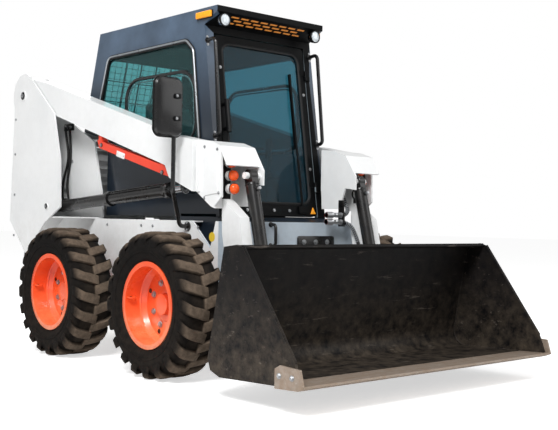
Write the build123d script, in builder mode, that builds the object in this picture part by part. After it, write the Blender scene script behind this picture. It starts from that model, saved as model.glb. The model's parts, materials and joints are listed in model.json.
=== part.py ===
from build123d import *

import os
from math import atan2, cos, degrees, hypot, radians, sin, sqrt

# A skid steer loader, as separate pieces in one frame. Millimetres. +Z is up, the ground is
# z = 0, the machine faces -Y and its left side is +X. The origin is on the ground, in the
# middle of the machine's length and width.

os.makedirs("parts", exist_ok=True)

RIGHT, LEFT = -1, 1
SIDE_NAMES = {RIGHT: "right", LEFT: "left"}

# ------------------------------------------------------------------ driving dimensions
PIN_FIT = 0.05  # radial clearance of a pin in its bore
SEAT_GAP = 0.3  # face clearance where moving pieces meet
RUN_GAP = 8.0  # clearance beside the arms

# Wheels
WHEELBASE = 1049.0
FRONT_AXLE_Y = -420.0
TYRE_R = 387.0
LUG_H = 24.0
LUG_W = 38.0
LUG_LEAN = 66.0  # how far a lug's inner end runs ahead of its shoulder end
LUGS = 13  # in each of a tyre's two rows
TYRE_W = 264.0
BEAD_R = 209.5
RIM_FLANGE_R = 228.0
RIM_W = 223.0
RIM_FLANGE_W = 12.0
RIM_T = 7.0
DISC_DEPTH = 125.0  # outer flange to the face of the wheel disc
DISC_T = 10.0
HUB_R = 92.0
HUB_L = 18.0
HUB_DOME_R = 56.0
HUB_DOME_L = 34.0
AXLE_TUBE_R = 58.0

# Chassis
CHASSIS_HALF = 520.0
TRACK_HALF = CHASSIS_HALF + 243  # tyre centre plane to the middle of the machine
CHASSIS_T = 12.0
CHASSIS_FRONT_Y = -560.0
CHASSIS_REAR_Y = 1500.0
BELLY_Z = 215.0
SHELF_Z = 835.0
SHELF_T = 8.0
PLATE_T = 10.0
DECK_GAP = 4.0
CHASSIS_DECK_END_Y = 1100.0

# Rear end
REAR_Y = 1670.0
BUMPER_L = 110.0
BUMPER_TOP_Z = 430.0
BUMPER_CHEEK = 40.0
TIE_DOWN_R = 18.0
TIE_DOWN_BACK, TIE_DOWN_Z = 65.0, 385.0

# Towers and boom pivot
TOWER_OUTER = CHASSIS_HALF + 112
TOWER_INNER = CHASSIS_HALF - 65
TOWER_T = 12.0
PIVOT_Y, PIVOT_Z = 1492.0, 1655.0
TOWER_TOP_R = 150.0
BOOM_PIN_R = 35.0

# Boom arms
ARM_OUTER = TOWER_OUTER - 20
ARM_W = 112.0
ARM_DEPTH = 182.0
ARM_BOSS_R = 128.0
ARM_SLOPE = 16.0  # degrees, the upper arm falls forward
KNEE_OUTER = CHASSIS_HALF + 55
KNEE_INNER = CHASSIS_HALF - 175
KNEE_T = 12.0
KNEE_FRONT_Y = -650.0
KNEE_WALL_Y = -590.0
LEG_OUTER = CHASSIS_HALF
LEG_W = 65.0
CROSS_TUBE_Y, CROSS_TUBE_Z = -690.0, 560.0
CROSS_TUBE_R = 45.0

# Lift cylinders
LIFT_X = ARM_OUTER - 74
LIFT_BASE_Y, LIFT_BASE_Z = 1135.0, 902.0
LIFT_EYE_Y, LIFT_EYE_Z = -320.0, 1010.0
LIFT_BARREL_R = 37.0
LIFT_BARREL_END = 1285.0  # base pin to the gland's front face
LIFT_ROD_R = 22.0
LIFT_ROD_L = 1150.0
LIFT_PIN_R = 20.0
LIFT_EYE_W = 50.0
LIFT_SPARE = 45.0  # room behind the rod for the boom's lowest position
LIFT_COLLAR = 620.0  # base pin to the band that holds the steel lines

# Bucket and its hinge
BUCKET_W = 1841.0
BUCKET_TIP_Y, BUCKET_TIP_Z = -1670.0, 136.0
BUCKET_PLATE = 12.0
CORNER_BIT_T = 12.0
HINGE_Y, HINGE_Z = -810.0, 240.0
HINGE_PIN_R = 25.0
LEG_END_R = 58.0

# Tilt cylinders
TILT_X = CHASSIS_HALF - 110
TILT_TOP_Y, TILT_TOP_Z = -690.0, 1070.0
TILT_EYE_Y, TILT_EYE_Z = -860.0, 400.0
TILT_BARREL_R = 36.0
TILT_BARREL_END = 470.0
TILT_ROD_R = 20.0
TILT_ROD_L = 400.0
TILT_PIN_R = 18.0
TILT_EYE_W = 44.0
TILT_SPARE = 75.0  # room behind the rod for the bucket curled back

# Cab
CAB_HALF = CHASSIS_HALF - 115
CAB_WALL = 16.0
CAB_BOTTOM_Z = 850.0
ROOF_Z = 2028.0
ROOF_BAND_Z = ROOF_Z - 93
CAB_FRONT_LOW_Y = -419.0
CAB_FRONT_TOP_Y = -251.0
VISOR_Y = -368.0
VISOR_LIP_Z = ROOF_Z - 32
CAB_REAR_TOP_Y = 878.0
CAB_REAR_LOW_Y, CAB_REAR_LOW_Z = 1060.0, 1400.0
CAB_BACK_Y = 760.0
FOOTWELL_Z = 600.0
FOOTWELL_HALF = CHASSIS_HALF - 80

# Front door
DOOR_HALF = CAB_HALF - 60
DOOR_T = 30.0
DOOR_GAP = 6.0
HEADER_H = 42.0  # band of the front frame over the door
SILL_H = 6.0
DOOR_RAIL = 46.0
DOOR_SILL = 75.0
GLASS_T = 6.0
GLASS_INSET = 5.0  # the cab's outer faces to the panes
WINDOW_TRIM_W = 18.0
WINDOW_TRIM_T = 6.0
DOOR_AXIS_X = DOOR_HALF - 3  # the hinge line is ahead of the door's face
DOOR_AXIS_OUT = 9.5

# Seat and consoles
CONSOLE_W = 110.0
CONSOLE_X = CAB_HALF - CAB_WALL - 14 - CONSOLE_W / 2
SEAT_HALF = CONSOLE_X - CONSOLE_W / 2 - 29
SEAT_BASE_H = 90.0
SEAT_H = 120.0

# Hinge knuckles of the door, the hood and the tailgate
KNUCKLE_R = 9.0
KNUCKLE_PIN_R = 5.0
KNUCKLE_L = 30.0

# Work lamps under the visor
LAMP_X, LAMP_Z = CAB_HALF - 58, ROOF_Z - 75
LAMP_R = 38.0
LAMP_L = 45.0
LAMP_BACK_Y = -325.0
MARKER_Y = -259.0

# Lamps in the boom's knees
KNEE_LAMP_R = 31.0
KNEE_LAMPS = (  # middle of the machine to the lamp, height, length
    (KNEE_OUTER - 83, 1138.0, 58.0),
    (KNEE_OUTER - 87, 1069.0, 70.0),
    (KNEE_OUTER - 91, 999.0, 74.0),
)

# Brace stored under the right arm
BRACE_IN, BRACE_OUT = LIFT_X + 22, LIFT_X + 67
BRACE = [(555.0, 1309.0), (530.0, 1259.0), (-219.0, 1066.0), (-169.0, 1129.0)]

# Hydraulic couplers and hoses at the left knee
COUPLER_Y = -624.0
COUPLER_Z = (832.0, 872.0)
COUPLER_R = 14.0
HOSE_R = 10.0

# ------------------------------------------------------------------ worked out from these
# A lug's flat top is at ROLL_R and its corners are at TYRE_R. The tyre stands on the nearest corners
# of the two lugs beside the lowest one.
LUG_REACH = (LUG_LEAN + LUG_W) / 2
ROLL_R = sqrt(TYRE_R**2 - LUG_REACH**2)
AXLE_Z = TYRE_R * cos(radians(180 / LUGS) - atan2(LUG_REACH, ROLL_R))
AXLES = {"front": FRONT_AXLE_Y, "rear": FRONT_AXLE_Y + WHEELBASE}
ARM_INNER = ARM_OUTER - ARM_W
LEG_INNER = LEG_OUTER - LEG_W
LIFT_ANGLE = degrees(atan2(LIFT_EYE_Z - LIFT_BASE_Z, LIFT_BASE_Y - LIFT_EYE_Y))
LIFT_LENGTH = hypot(LIFT_EYE_Y - LIFT_BASE_Y, LIFT_EYE_Z - LIFT_BASE_Z)
TILT_LENGTH = hypot(TILT_EYE_Y - TILT_TOP_Y, TILT_EYE_Z - TILT_TOP_Z)
# The door's two hinge leaves in cross-section: distance from the middle, distance ahead.
DOOR_LEAF_FIXED = [
    (DOOR_AXIS_X, 0.5),
    (DOOR_HALF + 2, 0.5),
    (DOOR_HALF + 2, -2),
    (DOOR_HALF + 30, -2),
    (DOOR_HALF + 30, 5),
    (DOOR_AXIS_X + KNUCKLE_R, 5),
    (DOOR_AXIS_X + KNUCKLE_R, DOOR_AXIS_OUT),
    (DOOR_AXIS_X, DOOR_AXIS_OUT),
]
DOOR_LEAF_MOVING = [
    (DOOR_AXIS_X, 0.5),
    (DOOR_HALF - DOOR_GAP - 2, 0.5),
    (DOOR_HALF - DOOR_GAP - 2, -2),
    (DOOR_HALF - 45, -2),
    (DOOR_HALF - 45, 5),
    (DOOR_AXIS_X - KNUCKLE_R, 5),
    (DOOR_AXIS_X - KNUCKLE_R, DOOR_AXIS_OUT),
    (DOOR_AXIS_X, DOOR_AXIS_OUT),
]


# ------------------------------------------------------------------ helpers
def write(builder, name):
    """Label a finished piece and write it."""
    builder.part.label = name
    export_step(builder.part, f"parts/{name}.step")


def slab(plane, points, thickness, mode=Mode.ADD, radius=0.0):
    """A plate of one closed outline, as thick as asked along the plane's normal."""
    with BuildSketch(plane) as profile:
        with BuildLine():
            Polyline(*points, close=True)
        make_face()
        if radius:
            fillet(profile.vertices(), radius)
    extrude(profile.sketch, amount=thickness, dir=plane.z_dir, mode=mode)


def side_plane(side, x):
    """The plane of a side plate: local x is the machine's Y, local y is its Z."""
    return Plane.YZ.offset(side * x)


def side_slab(side, inner, outer, points, mode=Mode.ADD, radius=0.0):
    """A plate on one side of the machine between two distances from its middle."""
    with BuildSketch(side_plane(side, inner)) as profile:
        with BuildLine():
            Polyline(*points, close=True)
        make_face()
        if radius:
            fillet(profile.vertices(), radius)
    extrude(profile.sketch, amount=outer - inner, dir=(side, 0, 0), mode=mode)


def pin(side, inner, outer, y, z, radius, mode=Mode.ADD):
    """A round bar or bore across one side of the machine."""
    with BuildSketch(side_plane(side, inner)) as profile:
        with Locations((y, z)):
            Circle(radius)
    extrude(profile.sketch, amount=outer - inner, dir=(side, 0, 0), mode=mode)


def bent_plate(plane, points, radii, thickness, width, mode=Mode.ADD):
    """A folded plate: its middle line in the plane, as wide as asked along the normal."""
    with BuildSketch(plane) as profile:
        with BuildLine() as line:
            FilletPolyline(*points, radius=radii)
        trace(line.wires()[0].edges(), line_width=thickness)
    extrude(profile.sketch, amount=width, dir=plane.z_dir, mode=mode)


def tube(points, radii, radius, flats=8):
    """A bent bar with flats round it, along straight runs and arcs."""
    with BuildLine() as path:
        FilletPolyline(*points, radius=radii)
    start = path.wires()[0]
    with BuildSketch(Plane(origin=start @ 0, z_dir=start % 0)) as section:
        RegularPolygon(radius, flats)
    sweep(section.sketch, path=start)


# ------------------------------------------------------------------ wheels
def make_tyres():
    """A carcass with two rows of leaning lugs, built once about the X axis and placed four times."""
    half = RIM_W / 2 - RIM_FLANGE_W
    side = TYRE_W / 2
    crown = TYRE_R - LUG_H
    pitch = 360 / LUGS
    # A lug across the tread: distance from the centre plane, radius.
    tread = [
        (-15, crown - 20),
        (-15, ROLL_R),
        (side - 26, ROLL_R),
        (side, crown - 36),
        (side - 40, crown - 20),
    ]
    # A lug seen from above: distance from the centre plane, distance ahead.
    lean = LUG_LEAN / 2
    bar = [
        (side + 5, lean - LUG_W / 2),
        (side + 5, lean + LUG_W / 2),
        (-10, -lean + LUG_W / 2),
        (-10, -lean - LUG_W / 2),
    ]
    with BuildPart() as lug:
        slab(Plane.XZ.offset(-LUG_LEAN - LUG_W), tread, 2 * (LUG_LEAN + LUG_W))
        with BuildSketch(Plane.XY.offset(crown - 100)) as profile:
            with BuildLine():
                Polyline(*bar, close=True)
            make_face()
        extrude(profile.sketch, amount=LUG_H + 130, mode=Mode.INTERSECT)
    other_row = mirror(lug.part, about=Plane.YZ).rotate(Axis.X, pitch / 2)
    with BuildPart() as tyre:
        with BuildSketch(Plane.YZ.offset(-side)) as outline:
            RegularPolygon(crown, 2 * LUGS, rotation=90 + pitch / 4)
        extrude(outline.sketch, amount=2 * side)
        chamfer(tyre.edges().filter_by(lambda e: abs(abs(e.center().X) - side) < 1), 60, 22)
        for sign in (1, -1):
            # Sidewall hollowed towards the bead.
            hollow = [
                (sign * half, 0),
                (sign * half, RIM_FLANGE_R + 3),
                (sign * side, BEAD_R + 78),
                (sign * (side + 5), BEAD_R + 78),
                (sign * (side + 5), 0),
            ]
            with BuildSketch(Plane.XZ) as profile:
                with BuildLine():
                    Polyline(*hollow, close=True)
                make_face()
            revolve(profile.sketch, axis=Axis.X, mode=Mode.SUBTRACT)
        Cylinder(BEAD_R, 3 * side, rotation=(0, 90, 0), mode=Mode.SUBTRACT)
        add([lug.part.rotate(Axis.X, n * pitch) for n in range(LUGS)])
        add([other_row.rotate(Axis.X, n * pitch) for n in range(LUGS)])
    place_wheels(tyre.part, "tyre")


def place_wheels(part, kind):
    """Write a left wheel's piece, built about the X axis, at all four corners."""
    for side in (RIGHT, LEFT):
        piece = part if side == LEFT else mirror(part, about=Plane.YZ)
        for where, y in AXLES.items():
            with BuildPart() as placed:
                add(piece.moved(Location((side * TRACK_HALF, y, AXLE_Z))))
            write(placed, f"{kind}_{where}_{SIDE_NAMES[side]}")


def make_rims():
    """A deep dished wheel with its hub dome."""
    edge = RIM_W / 2
    seat = edge - RIM_FLANGE_W
    face = edge - DISC_DEPTH
    back = face - DISC_T
    inner = BEAD_R - RIM_T
    # Section from the outer flange round to the bore: distance from the centre plane, radius.
    section = [
        (edge, RIM_FLANGE_R),
        (seat, RIM_FLANGE_R),
        (seat, BEAD_R),
        (-seat, BEAD_R),
        (-seat, RIM_FLANGE_R),
        (-edge, RIM_FLANGE_R),
        (-edge, inner),
        (back, inner),
        (back, HUB_R),
        (back - HUB_L, HUB_R),
        (back - HUB_L, 0),
        (face + HUB_DOME_L, 0),
        (face + HUB_DOME_L, HUB_DOME_R),
        (face, HUB_DOME_R),
        (face, inner - 20),
        (face + 24, inner),
        (edge, inner),
    ]
    with BuildPart() as rim:
        with BuildSketch(Plane.XZ) as profile:
            with BuildLine():
                Polyline(*section, close=True)
            make_face()
        revolve(profile.sketch, axis=Axis.X)
    place_wheels(rim.part, "rim")


def make_axles():
    hub_face = TRACK_HALF + RIM_W / 2 - DISC_DEPTH - DISC_T - HUB_L
    with BuildPart() as axles:
        for side in (RIGHT, LEFT):
            for y in AXLES.values():
                pin(side, CHASSIS_HALF, hub_face - SEAT_GAP, y, AXLE_Z, AXLE_TUBE_R)
                pin(side, CHASSIS_HALF, CHASSIS_HALF + 22, y, AXLE_Z, AXLE_TUBE_R + 42)
    write(axles, "axle_tubes")


# ------------------------------------------------------------------ chassis
NOTCH_BACK_Y, NOTCH_Z, NOTCH_LOW_Y, NOTCH_FRONT_Y = -322.0, 680.0, -490.0, -535.0


def make_chassis():
    top = SHELF_Z - SHELF_T
    nose = [(CHASSIS_FRONT_Y, 330), (CHASSIS_FRONT_Y + 110, BELLY_Z)]
    outline = [
        *nose,
        (CHASSIS_REAR_Y, BELLY_Z),
        (CHASSIS_REAR_Y, top),
        (NOTCH_BACK_Y, top),
        (NOTCH_LOW_Y, NOTCH_Z),
        (NOTCH_FRONT_Y, top),
        (CHASSIS_FRONT_Y, top),
    ]
    inner = CHASSIS_HALF - CHASSIS_T
    with BuildPart() as chassis:
        for side in (RIGHT, LEFT):
            side_slab(side, inner, CHASSIS_HALF, outline)
        # Belly pan, bent up at the nose, and the front wall above it.
        slab(
            side_plane(RIGHT, inner),
            [
                (CHASSIS_FRONT_Y, top),
                (CHASSIS_FRONT_Y, 330),
                (CHASSIS_FRONT_Y + 110, BELLY_Z),
                (CHASSIS_REAR_Y, BELLY_Z),
                (CHASSIS_REAR_Y, BELLY_Z + PLATE_T),
                (CHASSIS_FRONT_Y + 114, BELLY_Z + PLATE_T),
                (CHASSIS_FRONT_Y + PLATE_T, 334),
                (CHASSIS_FRONT_Y + PLATE_T, top),
            ],
            2 * inner,
        )
        # Decks between the cab's foot and the sides.
        for side in (RIGHT, LEFT):
            side_slab(
                side,
                FOOTWELL_HALF + DECK_GAP,
                CHASSIS_HALF,
                [
                    (NOTCH_BACK_Y, top - SHELF_T),
                    (CHASSIS_DECK_END_Y, top - SHELF_T),
                    (CHASSIS_DECK_END_Y, top),
                    (NOTCH_BACK_Y, top),
                ],
            )
        # Cross walls that tie the sides, ahead of and behind the engine bay's front.
        for wall_y, wall_top in ((250.0, 560.0), (860.0, 820.0)):
            slab(
                Plane.XZ.offset(-wall_y),
                [
                    (-inner, BELLY_Z + PLATE_T),
                    (inner, BELLY_Z + PLATE_T),
                    (inner, wall_top),
                    (-inner, wall_top),
                ],
                PLATE_T,
            )
    write(chassis, "chassis_frame")


# ------------------------------------------------------------------ towers
TOWER_FRONT = [(1063.0, 1508.0), (972.0, 1199.0), (960.0, 896.0)]
TOWER_ARCH = [(1158.0, 797.0), (1322.0, 661.0), (1412.0, 563.0)]
TOWER_REAR = [(1668.0, 804.0), (1625.0, 1514.0)]


def make_tower(side):
    inner_face = TOWER_INNER + TOWER_T
    outer_face = TOWER_OUTER - TOWER_T
    with BuildPart() as tower:
        # Outer plate, rounded about the boom pivot.
        with BuildSketch(side_plane(side, outer_face)) as profile:
            with BuildLine():
                Polyline(*TOWER_FRONT, *TOWER_ARCH, *TOWER_REAR, (PIVOT_Y, PIVOT_Z), close=True)
            make_face()
            with Locations((PIVOT_Y, PIVOT_Z)):
                Circle(TOWER_TOP_R)
            with BuildLine():
                Polyline(
                    TOWER_FRONT[0],
                    TOWER_REAR[-1],
                    (PIVOT_Y + TOWER_TOP_R * cos(radians(20)), PIVOT_Z + TOWER_TOP_R * sin(radians(20))),
                    (PIVOT_Y - TOWER_TOP_R * sin(radians(30)), PIVOT_Z + TOWER_TOP_R * cos(radians(30))),
                    close=True,
                )
            make_face()
        extrude(profile.sketch, amount=TOWER_T, dir=(side, 0, 0))
        # Inner plate, up from the shelf.
        with BuildSketch(side_plane(side, TOWER_INNER)) as profile:
            with BuildLine():
                Polyline(
                    (705, SHELF_Z),
                    (731, 1009),
                    (828, 1319),
                    (1100, 1450),
                    (PIVOT_Y - TOWER_TOP_R + 20, PIVOT_Z),
                    (PIVOT_Y + TOWER_TOP_R - 20, PIVOT_Z),
                    TOWER_REAR[1],
                    (TOWER_REAR[0][0], SHELF_Z),
                    close=True,
                )
            make_face()
            with Locations((PIVOT_Y, PIVOT_Z)):
                Circle(TOWER_TOP_R - 20)
        extrude(profile.sketch, amount=TOWER_T, dir=(side, 0, 0))
        # Shelf over the chassis side, and the rear web that boxes the tower.
        side_slab(
            side,
            TOWER_INNER,
            outer_face,
            [(705, SHELF_Z - SHELF_T), (1500, SHELF_Z - SHELF_T), (1500, SHELF_Z), (705, SHELF_Z)],
        )
        side_slab(
            side,
            inner_face,
            outer_face,
            [
                (TOWER_REAR[0][0] - TOWER_T, SHELF_Z),
                (TOWER_REAR[0][0] - 2, SHELF_Z),
                (TOWER_REAR[1][0], 1500),
                (TOWER_REAR[1][0] - PLATE_T, 1500),
            ],
        )
        # Fender web under the outer plate.
        side_slab(
            side,
            CHASSIS_HALF,
            outer_face,
            [(1112, 827), (1322, 661), (1412, 563), (1420, 570), (1330, 670), (1128, 827)],
        )
        # Tailgate hinge lugs and pins.
        if side == RIGHT:
            for height in GATE_HINGES:
                with BuildSketch(Plane.XY.offset(height - KNUCKLE_L)) as lug:
                    with BuildLine():
                        Polyline(
                            (GATE_AXIS_X, GATE_AXIS_Y),
                            (GATE_AXIS_X, GATE_AXIS_Y - KNUCKLE_R),
                            (-TOWER_INNER - 2, GATE_AXIS_Y - KNUCKLE_R),
                            (-TOWER_INNER - 2, GATE_AXIS_Y),
                            close=True,
                        )
                    make_face()
                    with Locations((GATE_AXIS_X, GATE_AXIS_Y)):
                        Circle(KNUCKLE_R)
                extrude(lug.sketch, amount=KNUCKLE_L - 0.5, dir=(0, 0, 1))
                with BuildSketch(Plane.XY.offset(height - KNUCKLE_L)) as lug:
                    with Locations((GATE_AXIS_X, GATE_AXIS_Y)):
                        Circle(KNUCKLE_PIN_R)
                extrude(lug.sketch, amount=2 * KNUCKLE_L, dir=(0, 0, 1))
        # Pins: boom pivot and lift cylinder base.
        pin(side, TOWER_INNER, TOWER_OUTER + 6, PIVOT_Y, PIVOT_Z, BOOM_PIN_R)
        pin(side, TOWER_INNER, TOWER_OUTER + 6, LIFT_BASE_Y, LIFT_BASE_Z, LIFT_PIN_R)
    write(tower, f"tower_{SIDE_NAMES[side]}")


# ------------------------------------------------------------------ rear end
GATE_HALF = TOWER_INNER - 9
GATE_T = 40.0
GATE_SKIN = 6.0
PAN_RIM = 22.0
GATE_FACE_Y = 1640.0
GATE_TOP_Z = 1345.0
GATE_AXIS_X, GATE_AXIS_Y = -(TOWER_INNER - 12), 1641.0
GATE_HINGES = (900.0, 1170.0)
ENGINE_Y = 1160.0
ENGINE_W, ENGINE_L, ENGINE_H = 460.0, 540.0, 560.0
HOOD_FRONT_Y = 1087.0
HOOD_TOP_Z = 1400.0
HOOD_T = 40.0
HOOD_SKIN = 5.0
HOOD_AXIS_Y, HOOD_AXIS_Z = 1077.0, 1410.0
HOOD_HINGE_X = CAB_HALF - 105


def make_bumper():
    with BuildPart() as bumper:
        for side in (RIGHT, LEFT):
            side_slab(
                side,
                CHASSIS_HALF - BUMPER_CHEEK,
                CHASSIS_HALF,
                [(CHASSIS_REAR_Y, 288), (REAR_Y - 4, 336), (REAR_Y, 804), (CHASSIS_REAR_Y, 804)],
            )
        slab(
            Plane.YZ.offset(-(CHASSIS_HALF - BUMPER_CHEEK)),
            [
                (REAR_Y - BUMPER_L, 310),
                (REAR_Y - 3, 336),
                (REAR_Y, BUMPER_TOP_Z - 40),
                (REAR_Y - 40, BUMPER_TOP_Z),
                (REAR_Y - BUMPER_L, BUMPER_TOP_Z),
            ],
            2 * (CHASSIS_HALF - BUMPER_CHEEK),
        )
        for side in (RIGHT, LEFT):
            pin(
                side,
                CHASSIS_HALF - BUMPER_CHEEK,
                CHASSIS_HALF + 1,
                REAR_Y - TIE_DOWN_BACK,
                TIE_DOWN_Z,
                TIE_DOWN_R,
                mode=Mode.SUBTRACT,
            )
    write(bumper, "rear_bumper")


def make_tailgate():
    edge = GATE_AXIS_X + KNUCKLE_R + 4
    with BuildPart() as gate:
        low = BUMPER_TOP_Z + 8
        slab(
            Plane.XZ.offset(-GATE_FACE_Y),
            [(edge, low), (GATE_HALF, low), (GATE_HALF, GATE_TOP_Z), (edge, GATE_TOP_Z)],
            GATE_T,
        )
        # The panel is a pan, open to the engine, with a rim all round.
        slab(
            Plane.XZ.offset(-GATE_FACE_Y + GATE_SKIN),
            [
                (edge + PAN_RIM, low + PAN_RIM),
                (GATE_HALF - PAN_RIM, low + PAN_RIM),
                (GATE_HALF - PAN_RIM, GATE_TOP_Z - PAN_RIM),
                (edge + PAN_RIM, GATE_TOP_Z - PAN_RIM),
            ],
            GATE_T,
            mode=Mode.SUBTRACT,
        )
        for height in GATE_HINGES:
            with BuildSketch(Plane.XY.offset(height)) as knuckle:
                with BuildLine():
                    Polyline(
                        (GATE_AXIS_X, GATE_AXIS_Y),
                        (edge + 2, GATE_AXIS_Y),
                        (edge + 2, GATE_FACE_Y - 2),
                        (edge + 36, GATE_FACE_Y - 2),
                        (edge + 36, GATE_AXIS_Y + KNUCKLE_R - 3),
                        (GATE_AXIS_X, GATE_AXIS_Y + KNUCKLE_R),
                        close=True,
                    )
                make_face()
                with Locations((GATE_AXIS_X, GATE_AXIS_Y)):
                    Circle(KNUCKLE_R)
                    Circle(KNUCKLE_PIN_R + PIN_FIT, mode=Mode.SUBTRACT)
            extrude(knuckle.sketch, amount=KNUCKLE_L, dir=(0, 0, 1))
        # Louvres: a slot through the skin and a leaning blade in each.
        louvre = GATE_HALF - 116
        for n in range(11):
            z = 620 + 60 * n
            slab(
                Plane.XZ.offset(-GATE_FACE_Y - 1),
                [(-louvre, z), (louvre, z), (louvre, z + 30), (-louvre, z + 30)],
                GATE_SKIN + 2,
                mode=Mode.SUBTRACT,
            )
            slab(
                Plane.YZ.offset(-louvre - 2),
                [
                    (GATE_FACE_Y - GATE_SKIN, z + 28),
                    (GATE_FACE_Y - 2, z + 2),
                    (GATE_FACE_Y - 2, z - 3),
                    (GATE_FACE_Y - GATE_SKIN, z - 3),
                    (GATE_FACE_Y - GATE_SKIN - 16, z + 33),
                    (GATE_FACE_Y - GATE_SKIN, z + 33),
                ],
                2 * louvre + 4,
            )
    write(gate, "tailgate")


def make_hood():
    with BuildPart() as hood:
        slab(
            Plane.YZ.offset(-GATE_HALF),
            [
                (HOOD_FRONT_Y, HOOD_TOP_Z - HOOD_T),
                (GATE_FACE_Y, HOOD_TOP_Z - HOOD_T - 8),
                (GATE_FACE_Y, HOOD_TOP_Z - 12),
                (HOOD_FRONT_Y, HOOD_TOP_Z),
            ],
            2 * GATE_HALF,
        )
        slab(
            Plane.YZ.offset(-GATE_HALF + PAN_RIM),
            [
                (HOOD_FRONT_Y + PAN_RIM, HOOD_TOP_Z - HOOD_T - 20),
                (GATE_FACE_Y - PAN_RIM, HOOD_TOP_Z - HOOD_T - 20),
                (GATE_FACE_Y - PAN_RIM, HOOD_TOP_Z - 12 - HOOD_SKIN),
                (HOOD_FRONT_Y + PAN_RIM, HOOD_TOP_Z - HOOD_SKIN),
            ],
            2 * (GATE_HALF - PAN_RIM),
            mode=Mode.SUBTRACT,
        )
        for n in range(8):
            with Locations((0, 1200 + 45 * n, HOOD_TOP_Z)):
                Box(1.35 * GATE_HALF, 20, 60, mode=Mode.SUBTRACT)
        for side in (RIGHT, LEFT):
            near, far = HOOD_HINGE_X, HOOD_HINGE_X + KNUCKLE_L
            side_slab(
                side,
                near,
                far,
                [
                    (HOOD_AXIS_Y, HOOD_AXIS_Z - KNUCKLE_R),
                    (HOOD_FRONT_Y + 2, HOOD_AXIS_Z - KNUCKLE_R),
                    (HOOD_FRONT_Y + 2, HOOD_TOP_Z - 4),
                    (HOOD_FRONT_Y + 40, HOOD_TOP_Z - 4),
                    (HOOD_FRONT_Y + 40, HOOD_TOP_Z + 4),
                    (HOOD_AXIS_Y + KNUCKLE_R, HOOD_AXIS_Z),
                    (HOOD_AXIS_Y, HOOD_AXIS_Z),
                ],
            )
            pin(side, near, far, HOOD_AXIS_Y, HOOD_AXIS_Z, KNUCKLE_R)
            pin(
                side,
                near,
                far,
                HOOD_AXIS_Y,
                HOOD_AXIS_Z,
                KNUCKLE_PIN_R + PIN_FIT,
                mode=Mode.SUBTRACT,
            )
    write(hood, "hood")


def make_engine():
    with BuildPart() as engine:
        with Locations((0, ENGINE_Y, BELLY_Z + PLATE_T)):
            Box(ENGINE_W, ENGINE_L, ENGINE_H, align=(Align.CENTER, Align.CENTER, Align.MIN))
        chamfer(engine.edges().filter_by(Axis.Z), 30)
    write(engine, "engine_block")


# ------------------------------------------------------------------ cab
SLOPE = degrees(atan2(CAB_FRONT_TOP_Y - CAB_FRONT_LOW_Y, ROOF_BAND_Z - CAB_BOTTOM_Z))
# The leaning front plane: its origin is in the middle of the sill, its normal faces forward.
FRONT = Plane(
    origin=(0, CAB_FRONT_LOW_Y, CAB_BOTTOM_Z),
    x_dir=(1, 0, 0),
    z_dir=(0, -cos(radians(SLOPE)), sin(radians(SLOPE))),
)
FRONT_H = hypot(CAB_FRONT_TOP_Y - CAB_FRONT_LOW_Y, ROOF_BAND_Z - CAB_BOTTOM_Z)
DOOR_HINGES = (190.0, FRONT_H - 218)  # heights up the leaning front
# Sections across the front: local x is the machine's X, local y is straight ahead of the door.
FRONT_ACROSS = Plane(origin=FRONT.origin, x_dir=(1, 0, 0), z_dir=-FRONT.y_dir)
REAR_SLOPE = degrees(atan2(CAB_REAR_LOW_Y - CAB_REAR_TOP_Y, ROOF_Z - CAB_REAR_LOW_Z))
# The leaning rear wall: its origin is at the wall's foot, its normal faces backward.
REAR_WALL = Plane(
    origin=(0, CAB_REAR_LOW_Y, CAB_REAR_LOW_Z),
    x_dir=(-1, 0, 0),
    z_dir=(0, cos(radians(REAR_SLOPE)), sin(radians(REAR_SLOPE))),
)
REAR_WALL_H = hypot(CAB_REAR_LOW_Y - CAB_REAR_TOP_Y, ROOF_Z - CAB_REAR_LOW_Z)
REAR_WINDOW_HALF = CAB_HALF - 105
REAR_WINDOW_LOW, REAR_WINDOW_HIGH = 90.0, REAR_WALL_H - 154  # up the leaning rear wall
REAR_WINDOW = [
    (-REAR_WINDOW_HALF, REAR_WINDOW_LOW),
    (REAR_WINDOW_HALF, REAR_WINDOW_LOW),
    (REAR_WINDOW_HALF, REAR_WINDOW_HIGH),
    (-REAR_WINDOW_HALF, REAR_WINDOW_HIGH),
]
# The visor's underside: its origin is at the front lip, its normal faces down and forward.
VISOR_SLOPE = degrees(atan2(VISOR_LIP_Z - ROOF_BAND_Z, CAB_FRONT_TOP_Y - VISOR_Y))
VISOR_UNDER = Plane(
    origin=(0, VISOR_Y, VISOR_LIP_Z),
    x_dir=(-1, 0, 0),
    z_dir=(0, -sin(radians(VISOR_SLOPE)), -cos(radians(VISOR_SLOPE))),
)
VISOR_SLOTS = 8
VISOR_SLOT_PITCH = (LAMP_X - LAMP_R - 20) * 2 / VISOR_SLOTS
WINDOW_R = 45.0
WINDOW = [
    (-225, 1255),
    (690, 1255),
    (860, CAB_REAR_LOW_Z + 140),
    (754, ROOF_Z - 178),
    (-86, ROOF_Z - 173),
    (-150, ROOF_Z - 228),
]


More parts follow.
